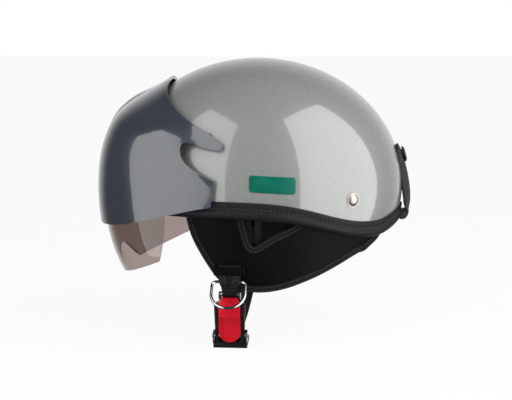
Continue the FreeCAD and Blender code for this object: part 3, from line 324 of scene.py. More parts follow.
class Wire:
    """One output socket of a material's node tree, with the usual operators."""

    def __init__(self, tree, socket):
        self.tree, self.socket = tree, socket

    def maths(self, operation, *others):
        node = self.tree.nodes.new("ShaderNodeMath")
        node.operation = operation
        for slot, value in zip(node.inputs, others):
            if isinstance(value, Wire):
                self.tree.links.new(value.socket, slot)
            else:
                slot.default_value = value
        return Wire(self.tree, node.outputs[0])

    def __add__(self, other):
        return self.maths("ADD", self, other)

    def __radd__(self, other):
        return self.maths("ADD", other, self)

    def __sub__(self, other):
        return self.maths("SUBTRACT", self, other)

    def __rsub__(self, other):
        return self.maths("SUBTRACT", other, self)

    def __mul__(self, other):
        return self.maths("MULTIPLY", self, other)

    def __rmul__(self, other):
        return self.maths("MULTIPLY", other, self)

    def wave(self):
        return self.maths("SINE", self)

    def clear_of(self, low, high):
        """0 below low, 1 above high, smooth between."""
        node = self.tree.nodes.new("ShaderNodeMapRange")
        node.interpolation_type = "SMOOTHSTEP"
        self.tree.links.new(self.socket, node.inputs["Value"])
        node.inputs["From Min"].default_value = low
        node.inputs["From Max"].default_value = high
        return Wire(self.tree, node.outputs["Result"])


class Finish:
    """A material on one Principled shader. Constants stand on its own sockets."""

    def __init__(self, name, colour, roughness=0.5, metallic=0.0, **constants):
        self.material = bpy.data.materials.new(name)
        self.material.use_nodes = True
        self.tree = self.material.node_tree
        self.shader = self.tree.nodes["Principled BSDF"]
        self.shader.inputs["Base Color"].default_value = (*colour[:3], 1.0)
        self.shader.inputs["Roughness"].default_value = roughness
        self.shader.inputs["Metallic"].default_value = metallic
        for key, value in constants.items():
            self.shader.inputs[key.replace("_", " ")].default_value = value

    def node(self, kind, settings=None, output=0, **inputs):
        made = self.tree.nodes.new(kind)
        for key, value in (settings or {}).items():
            setattr(made, key, value)
        for key, value in inputs.items():
            slot = made.inputs[key.replace("_", " ")]
            if isinstance(value, Wire):
                self.tree.links.new(value.socket, slot)
            else:
                slot.default_value = value
        return Wire(self.tree, made.outputs[output])

    def place(self, scale=(1.0, 1.0, 1.0), turn=(0.0, 0.0, 0.0)):
        spot = self.node("ShaderNodeTexCoord", output="Object")
        return self.node("ShaderNodeMapping", Vector=spot, Scale=scale, Rotation=turn)

    def uv(self):
        split = self.node("ShaderNodeSeparateXYZ", Vector=self.node("ShaderNodeUVMap", {"uv_map": "UVMap"}))
        return split, Wire(self.tree, split.socket.node.outputs[1])

    def noise(self, scale, detail=3.0, roughness=0.5, vector=None):
        return self.node("ShaderNodeTexNoise", Vector=vector or self.place(), Scale=scale, Detail=detail,
                         Roughness=roughness)

    def cells(self, scale, feature="F1", vector=None):
        return self.node("ShaderNodeTexVoronoi", {"feature": feature}, Vector=vector or self.place(), Scale=scale)

    def blend_colours(self, share, low, high):
        made = self.tree.nodes.new("ShaderNodeMix")
        made.data_type = "RGBA"
        self.tree.links.new(share.socket, made.inputs[0])
        for slot, value in ((made.inputs[6], low), (made.inputs[7], high)):
            if isinstance(value, Wire):
                self.tree.links.new(value.socket, slot)
            else:
                slot.default_value = (*value[:3], 1.0)
        return Wire(self.tree, made.outputs[2])

    def feed(self, key, wire):
        self.tree.links.new(wire.socket, self.shader.inputs[key])
        return self

    def shaded(self, share, base, low, high):
        """Lets the colour drift between two factors of its base."""
        return self.feed("Base Color", self.blend_colours(share, tinted(base, low), tinted(base, high)))

    def bump(self, height, strength=0.3, distance=0.0005):
        made = self.node("ShaderNodeBump", Height=height, Strength=strength, Distance=distance)
        return self.feed("Normal", made)


def tinted(colour, factor):
    return [min(1.0, c * factor) for c in colour]


FINISHES = {}


def finish(key):
    if key not in FINISHES:
        FINISHES[key] = MAKERS[key]().material
    return FINISHES[key]


def shell_paint():
    base = bpy.context.scene.helmet_shell.paint
    coat = Finish("shell_paint", base, 0.3, Coat_Weight=1.0, Coat_Roughness=0.05, Coat_IOR=1.6)
    drift = coat.noise(9.0, 2.0).clear_of(0.3, 0.7)
    coat.shaded(drift, base, 0.99, 1.01)
    coat.feed("Roughness", coat.noise(60.0, 2.0) * 0.03 + 0.26)
    return coat.bump(coat.noise(260.0, 0.0), 0.006, 0.0002)


def peak_plastic():
    base = bpy.context.scene.helmet_peak.colour
    skin = Finish("peak_plastic", base, 0.24, Coat_Weight=1.0, Coat_Roughness=0.06, Coat_IOR=1.6)
    drift = skin.noise(14.0, 3.0).clear_of(0.3, 0.75)
    skin.shaded(drift, base, 0.98, 1.02)
    skin.feed("Roughness", skin.noise(90.0, 2.0) * 0.04 + 0.22)
    return skin.bump(skin.noise(600.0, 2.0), 0.03, 0.0002)


def lens_tint():
    tint = bpy.context.scene.helmet_lens.tint
    skin = Finish("lens_tint", tint, 0.03, IOR=1.45, Transmission_Weight=1.0, Coat_Weight=0.3, Coat_Roughness=0.03)
    haze = skin.noise(30.0, 3.0).clear_of(0.35, 0.8)
    skin.feed("Roughness", haze * 0.03 + 0.015)
    return skin


def trim_vinyl():
    base = bpy.context.scene.helmet_trim.colour
    skin = Finish("trim_vinyl", base, 0.42, Specular_IOR_Level=0.14)
    grain = skin.cells(1500.0)
    patch = skin.noise(45.0, 4.0).clear_of(0.3, 0.7)
    skin.shaded(patch, base, 0.86, 1.14)
    skin.feed("Roughness", patch * 0.12 + 0.44)
    return skin.bump(grain + skin.noise(500.0, 3.0) * 0.6, 0.22, 0.0003)


def leather(name, base, grain=900.0, depth=0.3, rough=0.44):
    hide = Finish(name, base, rough, Specular_IOR_Level=0.07, Sheen_Weight=0.0)
    warped = hide.place()
    pores = hide.cells(grain, "DISTANCE_TO_EDGE", warped)
    wrinkles = hide.noise(120.0, 5.0, 0.6)
    patch = hide.noise(26.0, 4.0).clear_of(0.3, 0.75)
    hide.shaded(patch, base, 0.8, 1.3)
    hide.feed("Roughness", wrinkles * 0.16 + patch * 0.06 + (rough - 0.1))
    return hide.bump(pores.clear_of(0.0, 0.12) + wrinkles * 0.9, depth, 0.0004)


def flap_leather():
    return leather("flap_leather", bpy.context.scene.helmet_leather.colour, 800.0, 0.32, 0.42)


def goggle_leather():
    return leather("goggle_leather", bpy.context.scene.helmet_leather.strap_colour, 700.0, 0.4, 0.5)


def keeper_leather():
    return leather("keeper_leather", tinted(bpy.context.scene.helmet_leather.colour, 1.1), 900.0, 0.3, 0.45)


def ribbed_tape():
    base = bpy.context.scene.helmet_leather.tape_colour
    tape = Finish("ribbed_tape", base, 0.62, Specular_IOR_Level=0.12, Sheen_Weight=0.03, Sheen_Roughness=0.4)
    along, over = tape.uv()
    rib_relief_and_shade = (along * (2.0 * math.pi / 1.25)).wave() * 0.5 + 0.5
    threads = (over * (2.0 * math.pi / 0.42)).wave() * 0.5 + 0.5
    # Painted shade and highlight: the colour darkens in the grooves between the ribs and lightens on the rib tops.
    tape.shaded(rib_relief_and_shade, base, 0.45, 1.5)
    tape.feed("Roughness", rib_relief_and_shade * -0.15 + 0.7)
    return tape.bump(rib_relief_and_shade * 0.8 + threads * 0.2, 0.8, 0.0006)


def webbing():
    base = bpy.context.scene.helmet_strap.colour
    weave = Finish("webbing", base, 0.68, Specular_IOR_Level=0.12, Sheen_Weight=0.04, Sheen_Roughness=0.4)
    along, over = weave.uv()
    warp = (over * (2.0 * math.pi / 1.1)).wave()
    weft = (along * (2.0 * math.pi / 1.3)).wave()
    plait = warp * weft * 0.5 + 0.5
    ridge = (over * (2.0 * math.pi / 1.1)).wave() * 0.5 + 0.5
    height = plait * 0.55 + ridge * 0.45
    # Painted shade and highlight: the colour is darker in the weave's hollows and lighter on its raised threads.
    weave.shaded(height, base, 0.5, 1.5)
    weave.feed("Roughness", height * -0.12 + 0.76)
    return weave.bump(height, 0.75, 0.0005)


def webbing_inside():
    base = bpy.context.scene.helmet_strap.colour
    weave = Finish("webbing_inside", base, 0.7, Specular_IOR_Level=0.25, Sheen_Weight=0.04)
    spot = weave.node("ShaderNodeSeparateXYZ", Vector=weave.node("ShaderNodeTexCoord", output="Object"))
    rows = Wire(weave.tree, spot.socket.node.outputs[1])
    lines = Wire(weave.tree, spot.socket.node.outputs[2])
    height = (rows * 5200.0).wave() * (lines * 4800.0).wave() * 0.5 + 0.5
    # Painted shade and highlight: the colour is darker in the weave's hollows and lighter on its raised threads.
    weave.shaded(height, base, 0.55, 1.5)
    return weave.bump(height, 0.6, 0.0005)


def pad_cloth():
    base = bpy.context.scene.helmet_liner.cloth
    cloth = Finish("pad_cloth", base, 0.85, Specular_IOR_Level=0.2, Sheen_Weight=0.08, Sheen_Roughness=0.5)
    knit = cloth.cells(1300.0)
    soft = cloth.noise(35.0, 3.0).clear_of(0.3, 0.7)
    cloth.shaded(soft, base, 0.75, 1.35)
    return cloth.bump(knit, 0.6, 0.0005)


def eps_foam():
    foam = Finish("eps_foam", (0.018, 0.018, 0.019), 0.8)
    bead_relief_and_shade = foam.cells(330.0)
    # Painted shade: the colour is lighter on the bead tops and darker in the hollows between the beads.
    foam.feed("Base Color", foam.blend_colours(bead_relief_and_shade.clear_of(0.1, 0.7), (0.024, 0.024, 0.025), (0.009, 0.009, 0.01)))
    return foam.bump(1.0 - bead_relief_and_shade, 0.4, 0.0008)


def plain_plastic(name, base, rough, fine=900.0, depth=0.12, coat=0.0):
    skin = Finish(name, base, rough, Specular_IOR_Level=0.3, Coat_Weight=coat, Coat_Roughness=0.08)
    mottle = skin.noise(70.0, 4.0)
    skin.shaded(mottle.clear_of(0.3, 0.7), base, 0.88, 1.14)
    skin.feed("Roughness", mottle * 0.12 + (rough - 0.06))
    return skin.bump(skin.noise(fine, 3.0), depth, 0.0002)


def polished_metal(name, base, rough, brushed=0.0):
    metal = Finish(name, base, rough, 1.0)
    smear = metal.noise(110.0, 5.0, 0.6)
    metal.shaded(smear.clear_of(0.3, 0.75), base, 0.92, 1.05)
    metal.feed("Roughness", smear * 0.12 + (rough - 0.05))
    if brushed:
        metal.bump(metal.noise(brushed, 2.0, 0.5, metal.place((1.0, 12.0, 1.0))), 0.12, 0.0002)
    return metal


def thread(name, colour):
    twist = Finish(name, colour, 0.6, Sheen_Weight=0.2)
    fibre = twist.noise(4000.0, 2.0)
    twist.shaded(fibre.clear_of(0.3, 0.7), colour, 0.7, 1.3)
    return twist.bump(fibre, 0.4, 0.0001)


MAKERS = {
    "shell_paint": shell_paint, "peak_plastic": peak_plastic, "lens_tint": lens_tint, "trim_vinyl": trim_vinyl,
    "flap_leather": flap_leather, "goggle_leather": goggle_leather, "keeper_leather": keeper_leather,
    "ribbed_tape": ribbed_tape, "webbing": webbing, "webbing_inside": webbing_inside, "pad_cloth": pad_cloth,
    "eps_foam": eps_foam,
    "lens_rim": lambda: plain_plastic("lens_rim", (0.035, 0.026, 0.026), 0.3, 900.0, 0.05),
    "lever_red": lambda: plain_plastic("lever_red", bpy.context.scene.helmet_hardware.lever, 0.3, 700.0, 0.04, 0.2),
    "buckle_black": lambda: plain_plastic("buckle_black", (0.007, 0.007, 0.008), 0.42, 1500.0, 0.25),
    "rail_plastic": lambda: plain_plastic("rail_plastic", (0.012, 0.012, 0.013), 0.45, 1200.0, 0.2),
    "tongue_plastic": lambda: plain_plastic("tongue_plastic", (0.02, 0.02, 0.021), 0.4, 1200.0, 0.15),
    "spacer_rubber": lambda: plain_plastic("spacer_rubber", (0.012, 0.012, 0.012), 0.75, 900.0, 0.3),
    "label_green": lambda: plain_plastic("label_green", bpy.context.scene.helmet_shell.label, 0.3, 500.0, 0.03, 0.6),
    "snap_black": lambda: polished_metal("snap_black", (0.075, 0.07, 0.068), 0.34),
    "rivet_nickel": lambda: polished_metal("rivet_nickel", (0.5, 0.44, 0.41), 0.42),
    "rivet_black": lambda: plain_plastic("rivet_black", (0.03, 0.03, 0.03), 0.35),
    "chrome": lambda: polished_metal("chrome", bpy.context.scene.helmet_hardware.chrome, 0.13),
    "steel": lambda: polished_metal("steel", (0.5, 0.5, 0.5), 0.32, 900.0),
    "thread_grey": lambda: thread("thread_grey", bpy.context.scene.helmet_leather.thread),
    "thread_black": lambda: thread("thread_black", bpy.context.scene.helmet_trim.thread),
}


# Stitches: one Geometry Nodes tree that sews along any line

def sewing_tree():
    if "sewn_stitches" in bpy.data.node_groups:
        return bpy.data.node_groups["sewn_stitches"]
    tree = bpy.data.node_groups.new("sewn_stitches", "GeometryNodeTree")
    face = tree.interface
    face.new_socket("Geometry", in_out="INPUT", socket_type="NodeSocketGeometry")
    for label, size in (("Spacing", 0.003), ("Stitch Length", 0.0024), ("Stitch Width", 0.0006), ("Stitch Height", 0.0005)):
        made = face.new_socket(label, in_out="INPUT", socket_type="NodeSocketFloat")
        made.default_value = size
    face.new_socket("Material", in_out="INPUT", socket_type="NodeSocketMaterial")
    face.new_socket("Geometry", in_out="OUTPUT", socket_type="NodeSocketGeometry")
    add = tree.nodes.new
    start, end = add("NodeGroupInput"), add("NodeGroupOutput")
    curve, resample = add("GeometryNodeMeshToCurve"), add("GeometryNodeResampleCurve")
    tangent = add("GeometryNodeInputTangent")
    align, place = add("FunctionNodeAlignRotationToVector"), add("GeometryNodeInstanceOnPoints")
    bead, size, combine = add("GeometryNodeMeshIcoSphere"), add("GeometryNodeTransform"), add("ShaderNodeCombineXYZ")
    real, paint = add("GeometryNodeRealizeInstances"), add("GeometryNodeSetMaterial")
    smooth = add("GeometryNodeSetShadeSmooth")
    align.axis = "X"
    resample.mode = "LENGTH"
    bead.inputs["Radius"].default_value = 0.5
    bead.inputs["Subdivisions"].default_value = 2
    for source, output, target, slot in (
            (start, "Geometry", curve, "Mesh"), (curve, "Curve", resample, "Curve"),
            (start, "Spacing", resample, "Length"), (resample, "Curve", place, "Points"),
            (tangent, "Tangent", align, "Vector"), (align, "Rotation", place, "Rotation"),
            (start, "Stitch Length", combine, "X"), (start, "Stitch Width", combine, "Y"),
            (start, "Stitch Height", combine, "Z"), (bead, "Mesh", size, "Geometry"),
            (combine, "Vector", size, "Scale"), (size, "Geometry", place, "Instance"),
            (place, "Instances", real, "Geometry"), (real, "Geometry", smooth, "Geometry"),
            (smooth, "Geometry", paint, "Geometry"), (start, "Material", paint, "Material"),
            (paint, "Geometry", end, "Geometry")):
        tree.links.new(source.outputs[output], target.inputs[slot])
    return tree


def sewn(name, lines, body, material, spacing=3.0, length=2.3, width=0.6):
    """Stitches along lines of points given in millimetres."""
    mesh = bpy.data.meshes.new(name)
    points, edges = [], []
    for line in lines:
        base = len(points)
        points += [tuple(p * MM) for p in line]
        edges += [(base + k, base + k + 1) for k in range(len(line) - 1)]
    mesh.from_pydata(points, edges, [])
    piece = placed(name, mesh)
    tree = sewing_tree()
    stitch = piece.modifiers.new("Stitches", "NODES")
    stitch.node_group = tree
    wanted = {"Spacing": spacing * MM, "Stitch Length": length * MM, "Stitch Width": width * MM,
              "Stitch Height": width * 0.8 * MM, "Material": material}
    for item in tree.interface.items_tree:
        if item.in_out == "INPUT" and item.name in wanted:
            stitch[item.identifier] = wanted[item.name]
    baked(piece)
    return finished(piece, material, body)


# Sizes and colours that a user would change

def shade(name, description, default):
    """A colour that a user can set."""
    return bpy.props.FloatVectorProperty(name=name, description=description, subtype="COLOR", size=3, min=0.0, max=1.0,
                                         default=default)


def measure(name, description, default, low, high):
    """A length in metres that a user can set."""
    return bpy.props.FloatProperty(name=name, description=description, unit="LENGTH", default=default, min=low, max=high)


class HelmetShell(bpy.types.PropertyGroup):
    paint: shade("Paint", "Colour of the shell's paint", (0.215, 0.224, 0.216))
    label: shade("Label", "Colour of the blank side label", (0.0, 0.115, 0.075))


class HelmetPeak(bpy.types.PropertyGroup):
    colour: shade("Peak", "Colour of the peak's plastic", (0.032, 0.04, 0.054))


class HelmetLens(bpy.types.PropertyGroup):
    tint: shade("Tint", "Colour of the sun lens", (0.375, 0.3, 0.28))


class HelmetTrim(bpy.types.PropertyGroup):
    colour: shade("Trim", "Colour of the rim's vinyl", (0.0125, 0.012, 0.0145))
    thread: shade("Thread", "Colour of the rim's thread", (0.0025, 0.0025, 0.003))
    spacing: measure("Stitch Spacing", "Distance from stitch to stitch", 0.0039, 0.001, 0.02)


class HelmetLiner(bpy.types.PropertyGroup):
    cloth: shade("Pad Cloth", "Colour of the comfort pads", (0.013, 0.013, 0.014))


class HelmetLeather(bpy.types.PropertyGroup):
    colour: shade("Leather", "Colour of the ear flaps", (0.0026, 0.0024, 0.0031))
    strap_colour: shade("Rear Strap", "Colour of the rear strap", (0.036, 0.032, 0.03))
    tape_colour: shade("Binding", "Colour of the ribbed binding", (0.0075, 0.0075, 0.0085))
    thread: shade("Seam Thread", "Colour of the thread in straps and bindings", (0.028, 0.028, 0.03))
    puff: measure("Flap Puff", "How far the flaps swell", 0.0009, 0.0, 0.004)


class HelmetStrap(bpy.types.PropertyGroup):
    colour: shade("Webbing", "Colour of the webbing", (0.007, 0.007, 0.008))
    width: measure("Webbing Width", "Width of the chin strap", 0.02, 0.01, 0.03)


class HelmetHardware(bpy.types.PropertyGroup):
    lever: shade("Lever", "Colour of the buckle's lever", (0.5, 0.0005, 0.012))
    chrome: shade("Chrome", "Colour of the bright metal", (0.58, 0.56, 0.55))


class HelmetStage(bpy.types.PropertyGroup):
    distance: measure("Camera Distance", "From the dome's middle", 1.15, 0.3, 5.0)
    floor: shade("Floor", "Colour of the floor", (0.8, 0.8, 0.8))


# Shell, label and rivets

def layer_rows(turns, rises, outer, inner, low_lift):
    """Rows round the dome: from the top down the outer face, then up the inner face."""
    rows = []
    for i in range(turns):
        turn = 2.0 * math.pi * i / turns
        row = []
        for grow, order in ((outer, range(rises, -1, -1)), (inner, range(0, rises + 1))):
            low = rise_at_rim(turn, low_lift, grow)
            for k in order:
                share = k / rises
                row.append(dome_spot(turn, low + (math.pi / 2.0 - low) * share, grow))
        rows.append(row)
    return rows


class HELMET_OT_shell(bpy.types.Operator):
    """Makes the painted shell, the blank label and the strap rivets"""
    bl_idname = "helmet.shell"
    bl_label = "Shell"

    def execute(self, context):
        shell = lattice("shell_painted", layer_rows(240, 56, 0.0, -SHELL_WALL, 0.0), wrap_rows=True)
        finished(shell, finish("shell_paint"), "helmet", ["outer_shell"])
        corners = [Vector(corner) for corner in LABEL_CORNERS]
        label_rows = []
        for i in range(25):
            share = 0.5 - 0.5 * math.cos(math.pi * i / 24.0)
            top = corners[0].lerp(corners[1], share)
            low = corners[3].lerp(corners[2], share)
            short = max(0.0, LABEL_CORNER_RADIUS - LABEL_LENGTH * min(share, 1.0 - share))
            inset = LABEL_CORNER_RADIUS - math.sqrt(LABEL_CORNER_RADIUS ** 2 - short ** 2)
            top.y, low.y = top.y - inset, low.y + inset
            row = []
            for grow, order in ((LABEL_PROUD, range(11)), (LABEL_SUNK, range(10, -1, -1))):
                row += [dome_side(spot.x, spot.y, grow) for spot in (top.lerp(low, k / 10.0) for k in order)]
            label_rows.append(row)
        label = lattice("label_blank", label_rows, wrap_columns=True, cap=True)
        soft = label.modifiers.new("Soft edge", "BEVEL")
        soft.width, soft.segments, soft.limit_method, soft.angle_limit = 0.0002, 2, "ANGLE", math.radians(50)
        smoothed(baked(label), 40.0)
        finished(label, finish("label_green"), "helmet", ["side_label"])
        rivets = copy_of("rear_rivets", "rivets_domed")
        for vertex in rivets.data.vertices:
            spot = dome_side(*REAR_RIVET_PLACE) * MM
            spot.x = math.copysign(spot.x, vertex.co.x)
            vertex.co = spot + (vertex.co - spot) * RIVET_GROWTH
        smoothed(rivets, 35.0)
        finished(rivets, finish("rivet_nickel"), "helmet", ["rear_rivets"])
        for node, key in (("front_rivets", "rivet_black"), ("rivet_washers", "steel"), ("peak_screws", "steel"),
                          ("peak_spacers", "spacer_rubber"), ("snap_stud", "steel")):
            dress(node, key)
        return {"FINISHED"}


def dress(node, key):
    """Gives a CAD node that keeps its own shape its finish."""
    NODES[node].data.materials.clear()
    NODES[node].data.materials.append(finish(key))


# Trim round the rim

def trim_section():
    middle = ROLL_OUTSET - SHELL_WALL / 2.0
    spots = [(0.02, 10.5), (0.7, 10.62), (1.3, 10.35), (1.62, 9.7), (1.72, 8.6), (1.74, 6.4), (1.62, 5.5), (1.25, 5.0),
             (1.55, 4.5), (1.74, 3.9)]
    spots = across(spots, (middle, 0.0), 46.0, -234.0, 22, ROLL_RADIUS)
    spots += [(-4.6, 4.6), (-4.75, 7.0), (-4.7, 9.7), (-4.3, 10.4), (-3.54, 10.4), (-3.54, -0.1), (0.02, -0.1)]
    return spots


class HELMET_OT_trim(bpy.types.Operator):
    """Makes the sewn vinyl trim with its rolled edge"""
    bl_idname = "helmet.trim"
    bl_label = "Rim Trim"

    def execute(self, context):
        section = trim_section()
        turns = 300
        rows = []
        for i in range(turns):
            turn = 2.0 * math.pi * i / turns
            rows.append([rim_spot(turn, lift, grow) for grow, lift in section])
        trim = lattice("trim_vinyl", rows, wrap_rows=True, wrap_columns=True)
        finished(trim, finish("trim_vinyl"), "helmet", ["edge_trim"])
        lines = [[rim_spot(2.0 * math.pi * i / 240, 5.05, grow) for i in range(241)] for grow in (1.62, -4.8)]
        spacing = context.scene.helmet_trim.spacing * 1000.0
        sewn("trim_stitches", lines, "helmet", finish("thread_black"), spacing, 3.0, 1.5)
        return {"FINISHED"}


# Liner

class HELMET_OT_liner(bpy.types.Operator):
    """Makes the foam liner's finish and the padded comfort liner"""
    bl_idname = "helmet.liner"
    bl_label = "Liner And Pads"

    def execute(self, context):
        dress("eps_liner", "eps_foam")
        outer = -SHELL_WALL - LINER_DEPTH
        rows = []
        turns, ups = 216, 18
        for i in range(turns):
            turn = 2.0 * math.pi * i / turns
            bulge = abs(math.sin(turn * 5.0)) ** 0.5
            row = []
            for k in range(ups + 1):
                row.append(self.band_spot(turn, k / ups, outer - 0.3))
            for k in range(ups, -1, -1):
                share = k / ups
                crown = (4.0 * share * (1.0 - share)) ** 0.4
                row.append(self.band_spot(turn, share, outer - 3.5 - 4.2 * crown * (0.45 + 0.55 * bulge)))
            rows.append(row)
        band = lattice("pad_band", rows, wrap_rows=True, wrap_columns=True)
        finished(band, finish("pad_cloth"), "helmet", ["comfort_band"])
        rows = []
        rings = 26
        for i in range(turns):
            turn = 2.0 * math.pi * i / turns
            row = []
            for k in range(rings + 1):
                row.append(dome_spot(turn, self.crown_rise(1.0 - k / rings, outer - 0.3), outer - 0.3))
            for k in range(rings + 1):
                share = k / rings
                quilt = abs(math.sin(turn * 3.0)) ** 0.4 if share < 0.86 else 1.0
                edge = min(1.0, (share * 6.0)) ** 0.5
                ring = abs(math.sin(math.pi * share * 2.5)) ** 0.3
                thick = 2.0 + 5.2 * edge * (0.4 + 0.6 * quilt * ring)
                row.append(dome_spot(turn, self.crown_rise(share, outer - thick), outer - thick))
            rows.append(row)
        crown = lattice("pad_crown", rows, wrap_rows=True, wrap_columns=True)
        finished(crown, finish("pad_cloth"), "helmet", ["comfort_crown"])
        return {"FINISHED"}

    def crown_rise(self, share, grow):
        low = math.asin(CROWN_FROM_Z / (CROWN_HEIGHT + grow))
        return low + (math.pi / 2.0 - low) * share

    def band_spot(self, turn, share, grow):
        low = rise_at_rim(turn, BAND_LIFT, grow)
        high = math.asin(BAND_TOP_Z / (CROWN_HEIGHT + grow))
        return dome_spot(turn, low + (high - low) * share, grow)


# Lens, rails and peak

class HELMET_OT_lens(bpy.types.Operator):
    """Gives the sun lens and its rails their finish"""
    bl_idname = "helmet.lens"
    bl_label = "Sun Lens"

    def execute(self, context):
        lens = copy_of("sun_lens", "lens_clear")
        smoothed(lens, 30.0)
        finished(lens, finish("lens_tint"), "lens", ["sun_lens"])
        lens.data.materials.append(finish("lens_rim"))
        self.darken_rim(lens.data)
        dress("lens_rails", "rail_plastic")
        return {"FINISHED"}

    def darken_rim(self, mesh):
        """Gives the narrow faces round the lens the rim's finish: all but the two largest smooth areas."""
        with edited(mesh) as work:
            seen, areas = set(), []
            for first in work.faces:
                if first in seen:
                    continue
                seen.add(first)
                group, queue = [], [first]
                while queue:
                    face = queue.pop()
                    group.append(face)
                    flat = [edge for edge in face.edges
                            if len(edge.link_faces) == 2 and edge.calc_face_angle() < math.radians(30.0)]
                    for other in (other for edge in flat for other in edge.link_faces):
                        if other not in seen:
                            seen.add(other)
                            queue.append(other)
                areas.append((sum(face.calc_area() for face in group), group))
            areas.sort(key=lambda pair: -pair[0])
            for _, group in areas[2:]:
                for face in group:
                    face.material_index = 1


class HELMET_OT_peak(bpy.types.Operator):
    """Gives the peak its finish and its sharp edges"""
    bl_idname = "helmet.peak"
    bl_label = "Peak"

    def execute(self, context):
        peak = copy_of("peak", "peak_shaped")
        smoothed(peak, 32.0)
        finished(peak, finish("peak_plastic"), "helmet", ["peak"])
        return {"FINISHED"}


# Ear flaps and their bindings

def mirrored_copy(piece, name):
    twin = placed(name, piece.data.copy())
    twin.data.transform(Matrix.Diagonal((-1.0, 1.0, 1.0, 1.0)))
    twin.data.flip_normals()
    return twin


def side_path(points, step):
    return evenly(smooth_line([(y, z, 0.0) for y, z in points]), step)


def bound_rows(path, section, inward):
    """Rows across an edge: each section spot is (inset, depth) off the path on the skirt."""
    rows = []
    for k, spot in enumerate(path):
        run = run_at(path, k)
        side = Vector((-run.y, run.x)) * inward
        rows.append([skirt_spot(spot.x + side.x * inset, spot.y + side.y * inset, depth) for inset, depth in section])
    return rows


def flap_outline():
    return side_path(FLAP_FRONT + FLAP_LOW + FLAP_REAR, 1.6)


def edge_section(width, reach, proud, wall):
    """A tape folded round an edge, from inside to outside, as (inset, depth)."""
    spots = [(width, wall + 0.05), (width - 0.2, wall + proud * 0.7), (width - 1.0, wall + proud), (1.6, wall + proud)]
    middle, half = wall / 2.0, wall / 2.0 + proud
    for i in range(9):
        turn = math.pi * (i / 8.0) - math.pi / 2.0
        spots.append((1.0 - (1.0 + reach) * math.cos(turn), middle - half * math.sin(turn)))
    spots += [(1.6, -proud), (width - 1.0, -proud), (width - 0.2, -proud * 0.7), (width, -0.05), (width - 0.1, 0.6)]
    spots += [(width * 0.5, 0.8), (width * 0.5, wall - 0.8), (width - 0.1, wall - 0.6)]
    return spots


class HELMET_OT_flaps(bpy.types.Operator):
    """Makes the padded leather ear flaps, their ribbed bindings and the tapes behind the ear openings"""
    bl_idname = "helmet.flaps"
    bl_label = "Ear Flaps"

    def execute(self, context):
        flap = self.padded_flap(context.scene.helmet_leather.puff)
        edge = lattice("binding_flap_left",
                       bound_rows(flap_outline(), edge_section(6.2, 0.0, BINDING_PROUD, FLAP_WALL), 1.0),
                       wrap_columns=True, cap=True, uvs=lambda i, j: (i * 1.6, j * 1.1))
        ear_path = side_path(EAR_LINE, 1.5)
        out = 1.0 if self.turn_out(ear_path) else -1.0
        ear = lattice("binding_ear_left",
                      bound_rows(ear_path, edge_section(6.4, 0.3, BINDING_PROUD, FLAP_WALL), out),
                      wrap_columns=True, cap=True, uvs=lambda i, j: (i * 1.5, j * 1.1))
        for piece, right, key, slot, nodes, fill in (
                (flap, "flap_leather_right", "flap_leather", "flap_leather", 
                 ("ear_flap_left", "ear_flap_right"), 0.5),
                (edge, "binding_flap_right", "ribbed_tape", "binding_tape", 
                 ("flap_binding_left", "flap_binding_right"), None),
                (ear, "binding_ear_right", "ribbed_tape", "binding_tape", 
                 ("ear_binding_left", "ear_binding_right"), None)):
            twin = mirrored_copy(piece, right)
            finished(piece, finish(key), "helmet", nodes[:1])
            finished(twin, finish(key), "helmet", nodes[1:])
        self.binding_stitches(ear_path, out)
        for node in ("ear_tapes", "front_branch_left", "front_branch_right", "rear_branch_left", "rear_branch_right"):
            dress(node, "webbing_inside")
        return {"FINISHED"}

    def binding_stitches(self, ear_path, out):
        """Two rows of short stitches along every ribbed binding."""
        lines = []
        for path, insets, inward in ((flap_outline(), (1.5, 4.6), 1.0), (ear_path, (1.6, 4.9), out)):
            for inset in insets:
                lines.append([row[0] for row in bound_rows(path, [(inset, -BINDING_PROUD - 0.08)], inward)])
        lines += [[Vector((-p.x, p.y, p.z)) for p in line] for line in lines]
        sewn("binding_stitches", lines, "helmet", finish("thread_grey"), 2.1, 1.3, 0.75)

    def turn_out(self, path):
        """True if the left of the path's run points away from the ear opening."""
        k = len(path) // 3
        run = run_at(path, k)
        side = Vector((-run.y, run.x))
        middle = Vector(EAR_MIDDLE)
        return (path[k].xy + side - middle).length > (path[k].xy - middle).length

    def padded_flap(self, puff):
        piece = evened(copy_of("ear_flap_left", "flap_leather_left"), 0.0013)
        border = flap_outline()[::4]
        opening = side_path(EAR_LINE, 6.0)
        lines = [Vector((p.x, p.y)) for p in border + opening]
        for vertex in piece.data.vertices:
            spot = Vector((vertex.co.y, vertex.co.z)) / MM
            reach = min((spot - p).length for p in lines)
            fill = 1.0 - math.exp(-max(0.0, reach - 4.0) / 9.0)
            out = Vector((vertex.normal.x, vertex.normal.y, 0.0))
            ripple = 0.25 * math.sin(spot.x * 0.11 + 0.8) * math.sin(spot.y * 0.09 + spot.x * 0.03)
            vertex.co += out * puff * fill * (0.75 + ripple)
        piece.data.shade_smooth()
        return piece


# Straps

def ribbon_section(half):
    """A strap's section, round both faces: (place over its width, share of half its thickness)."""
    face = [(0.0, 0.9), (half * 0.5, 0.9), (half - 1.7, 0.92), (half - 0.55, 1.0), (half - 0.15, 0.6)]
    back = [(y, -h) for y, h in face[:2] + face[3:]]
    front = [(-half, 0.0)] + [(-y, h) for y, h in face[:0:-1]] + face + [(half, 0.0)]
    return front + back[::-1] + [(-y, h) for y, h in back[1:]]


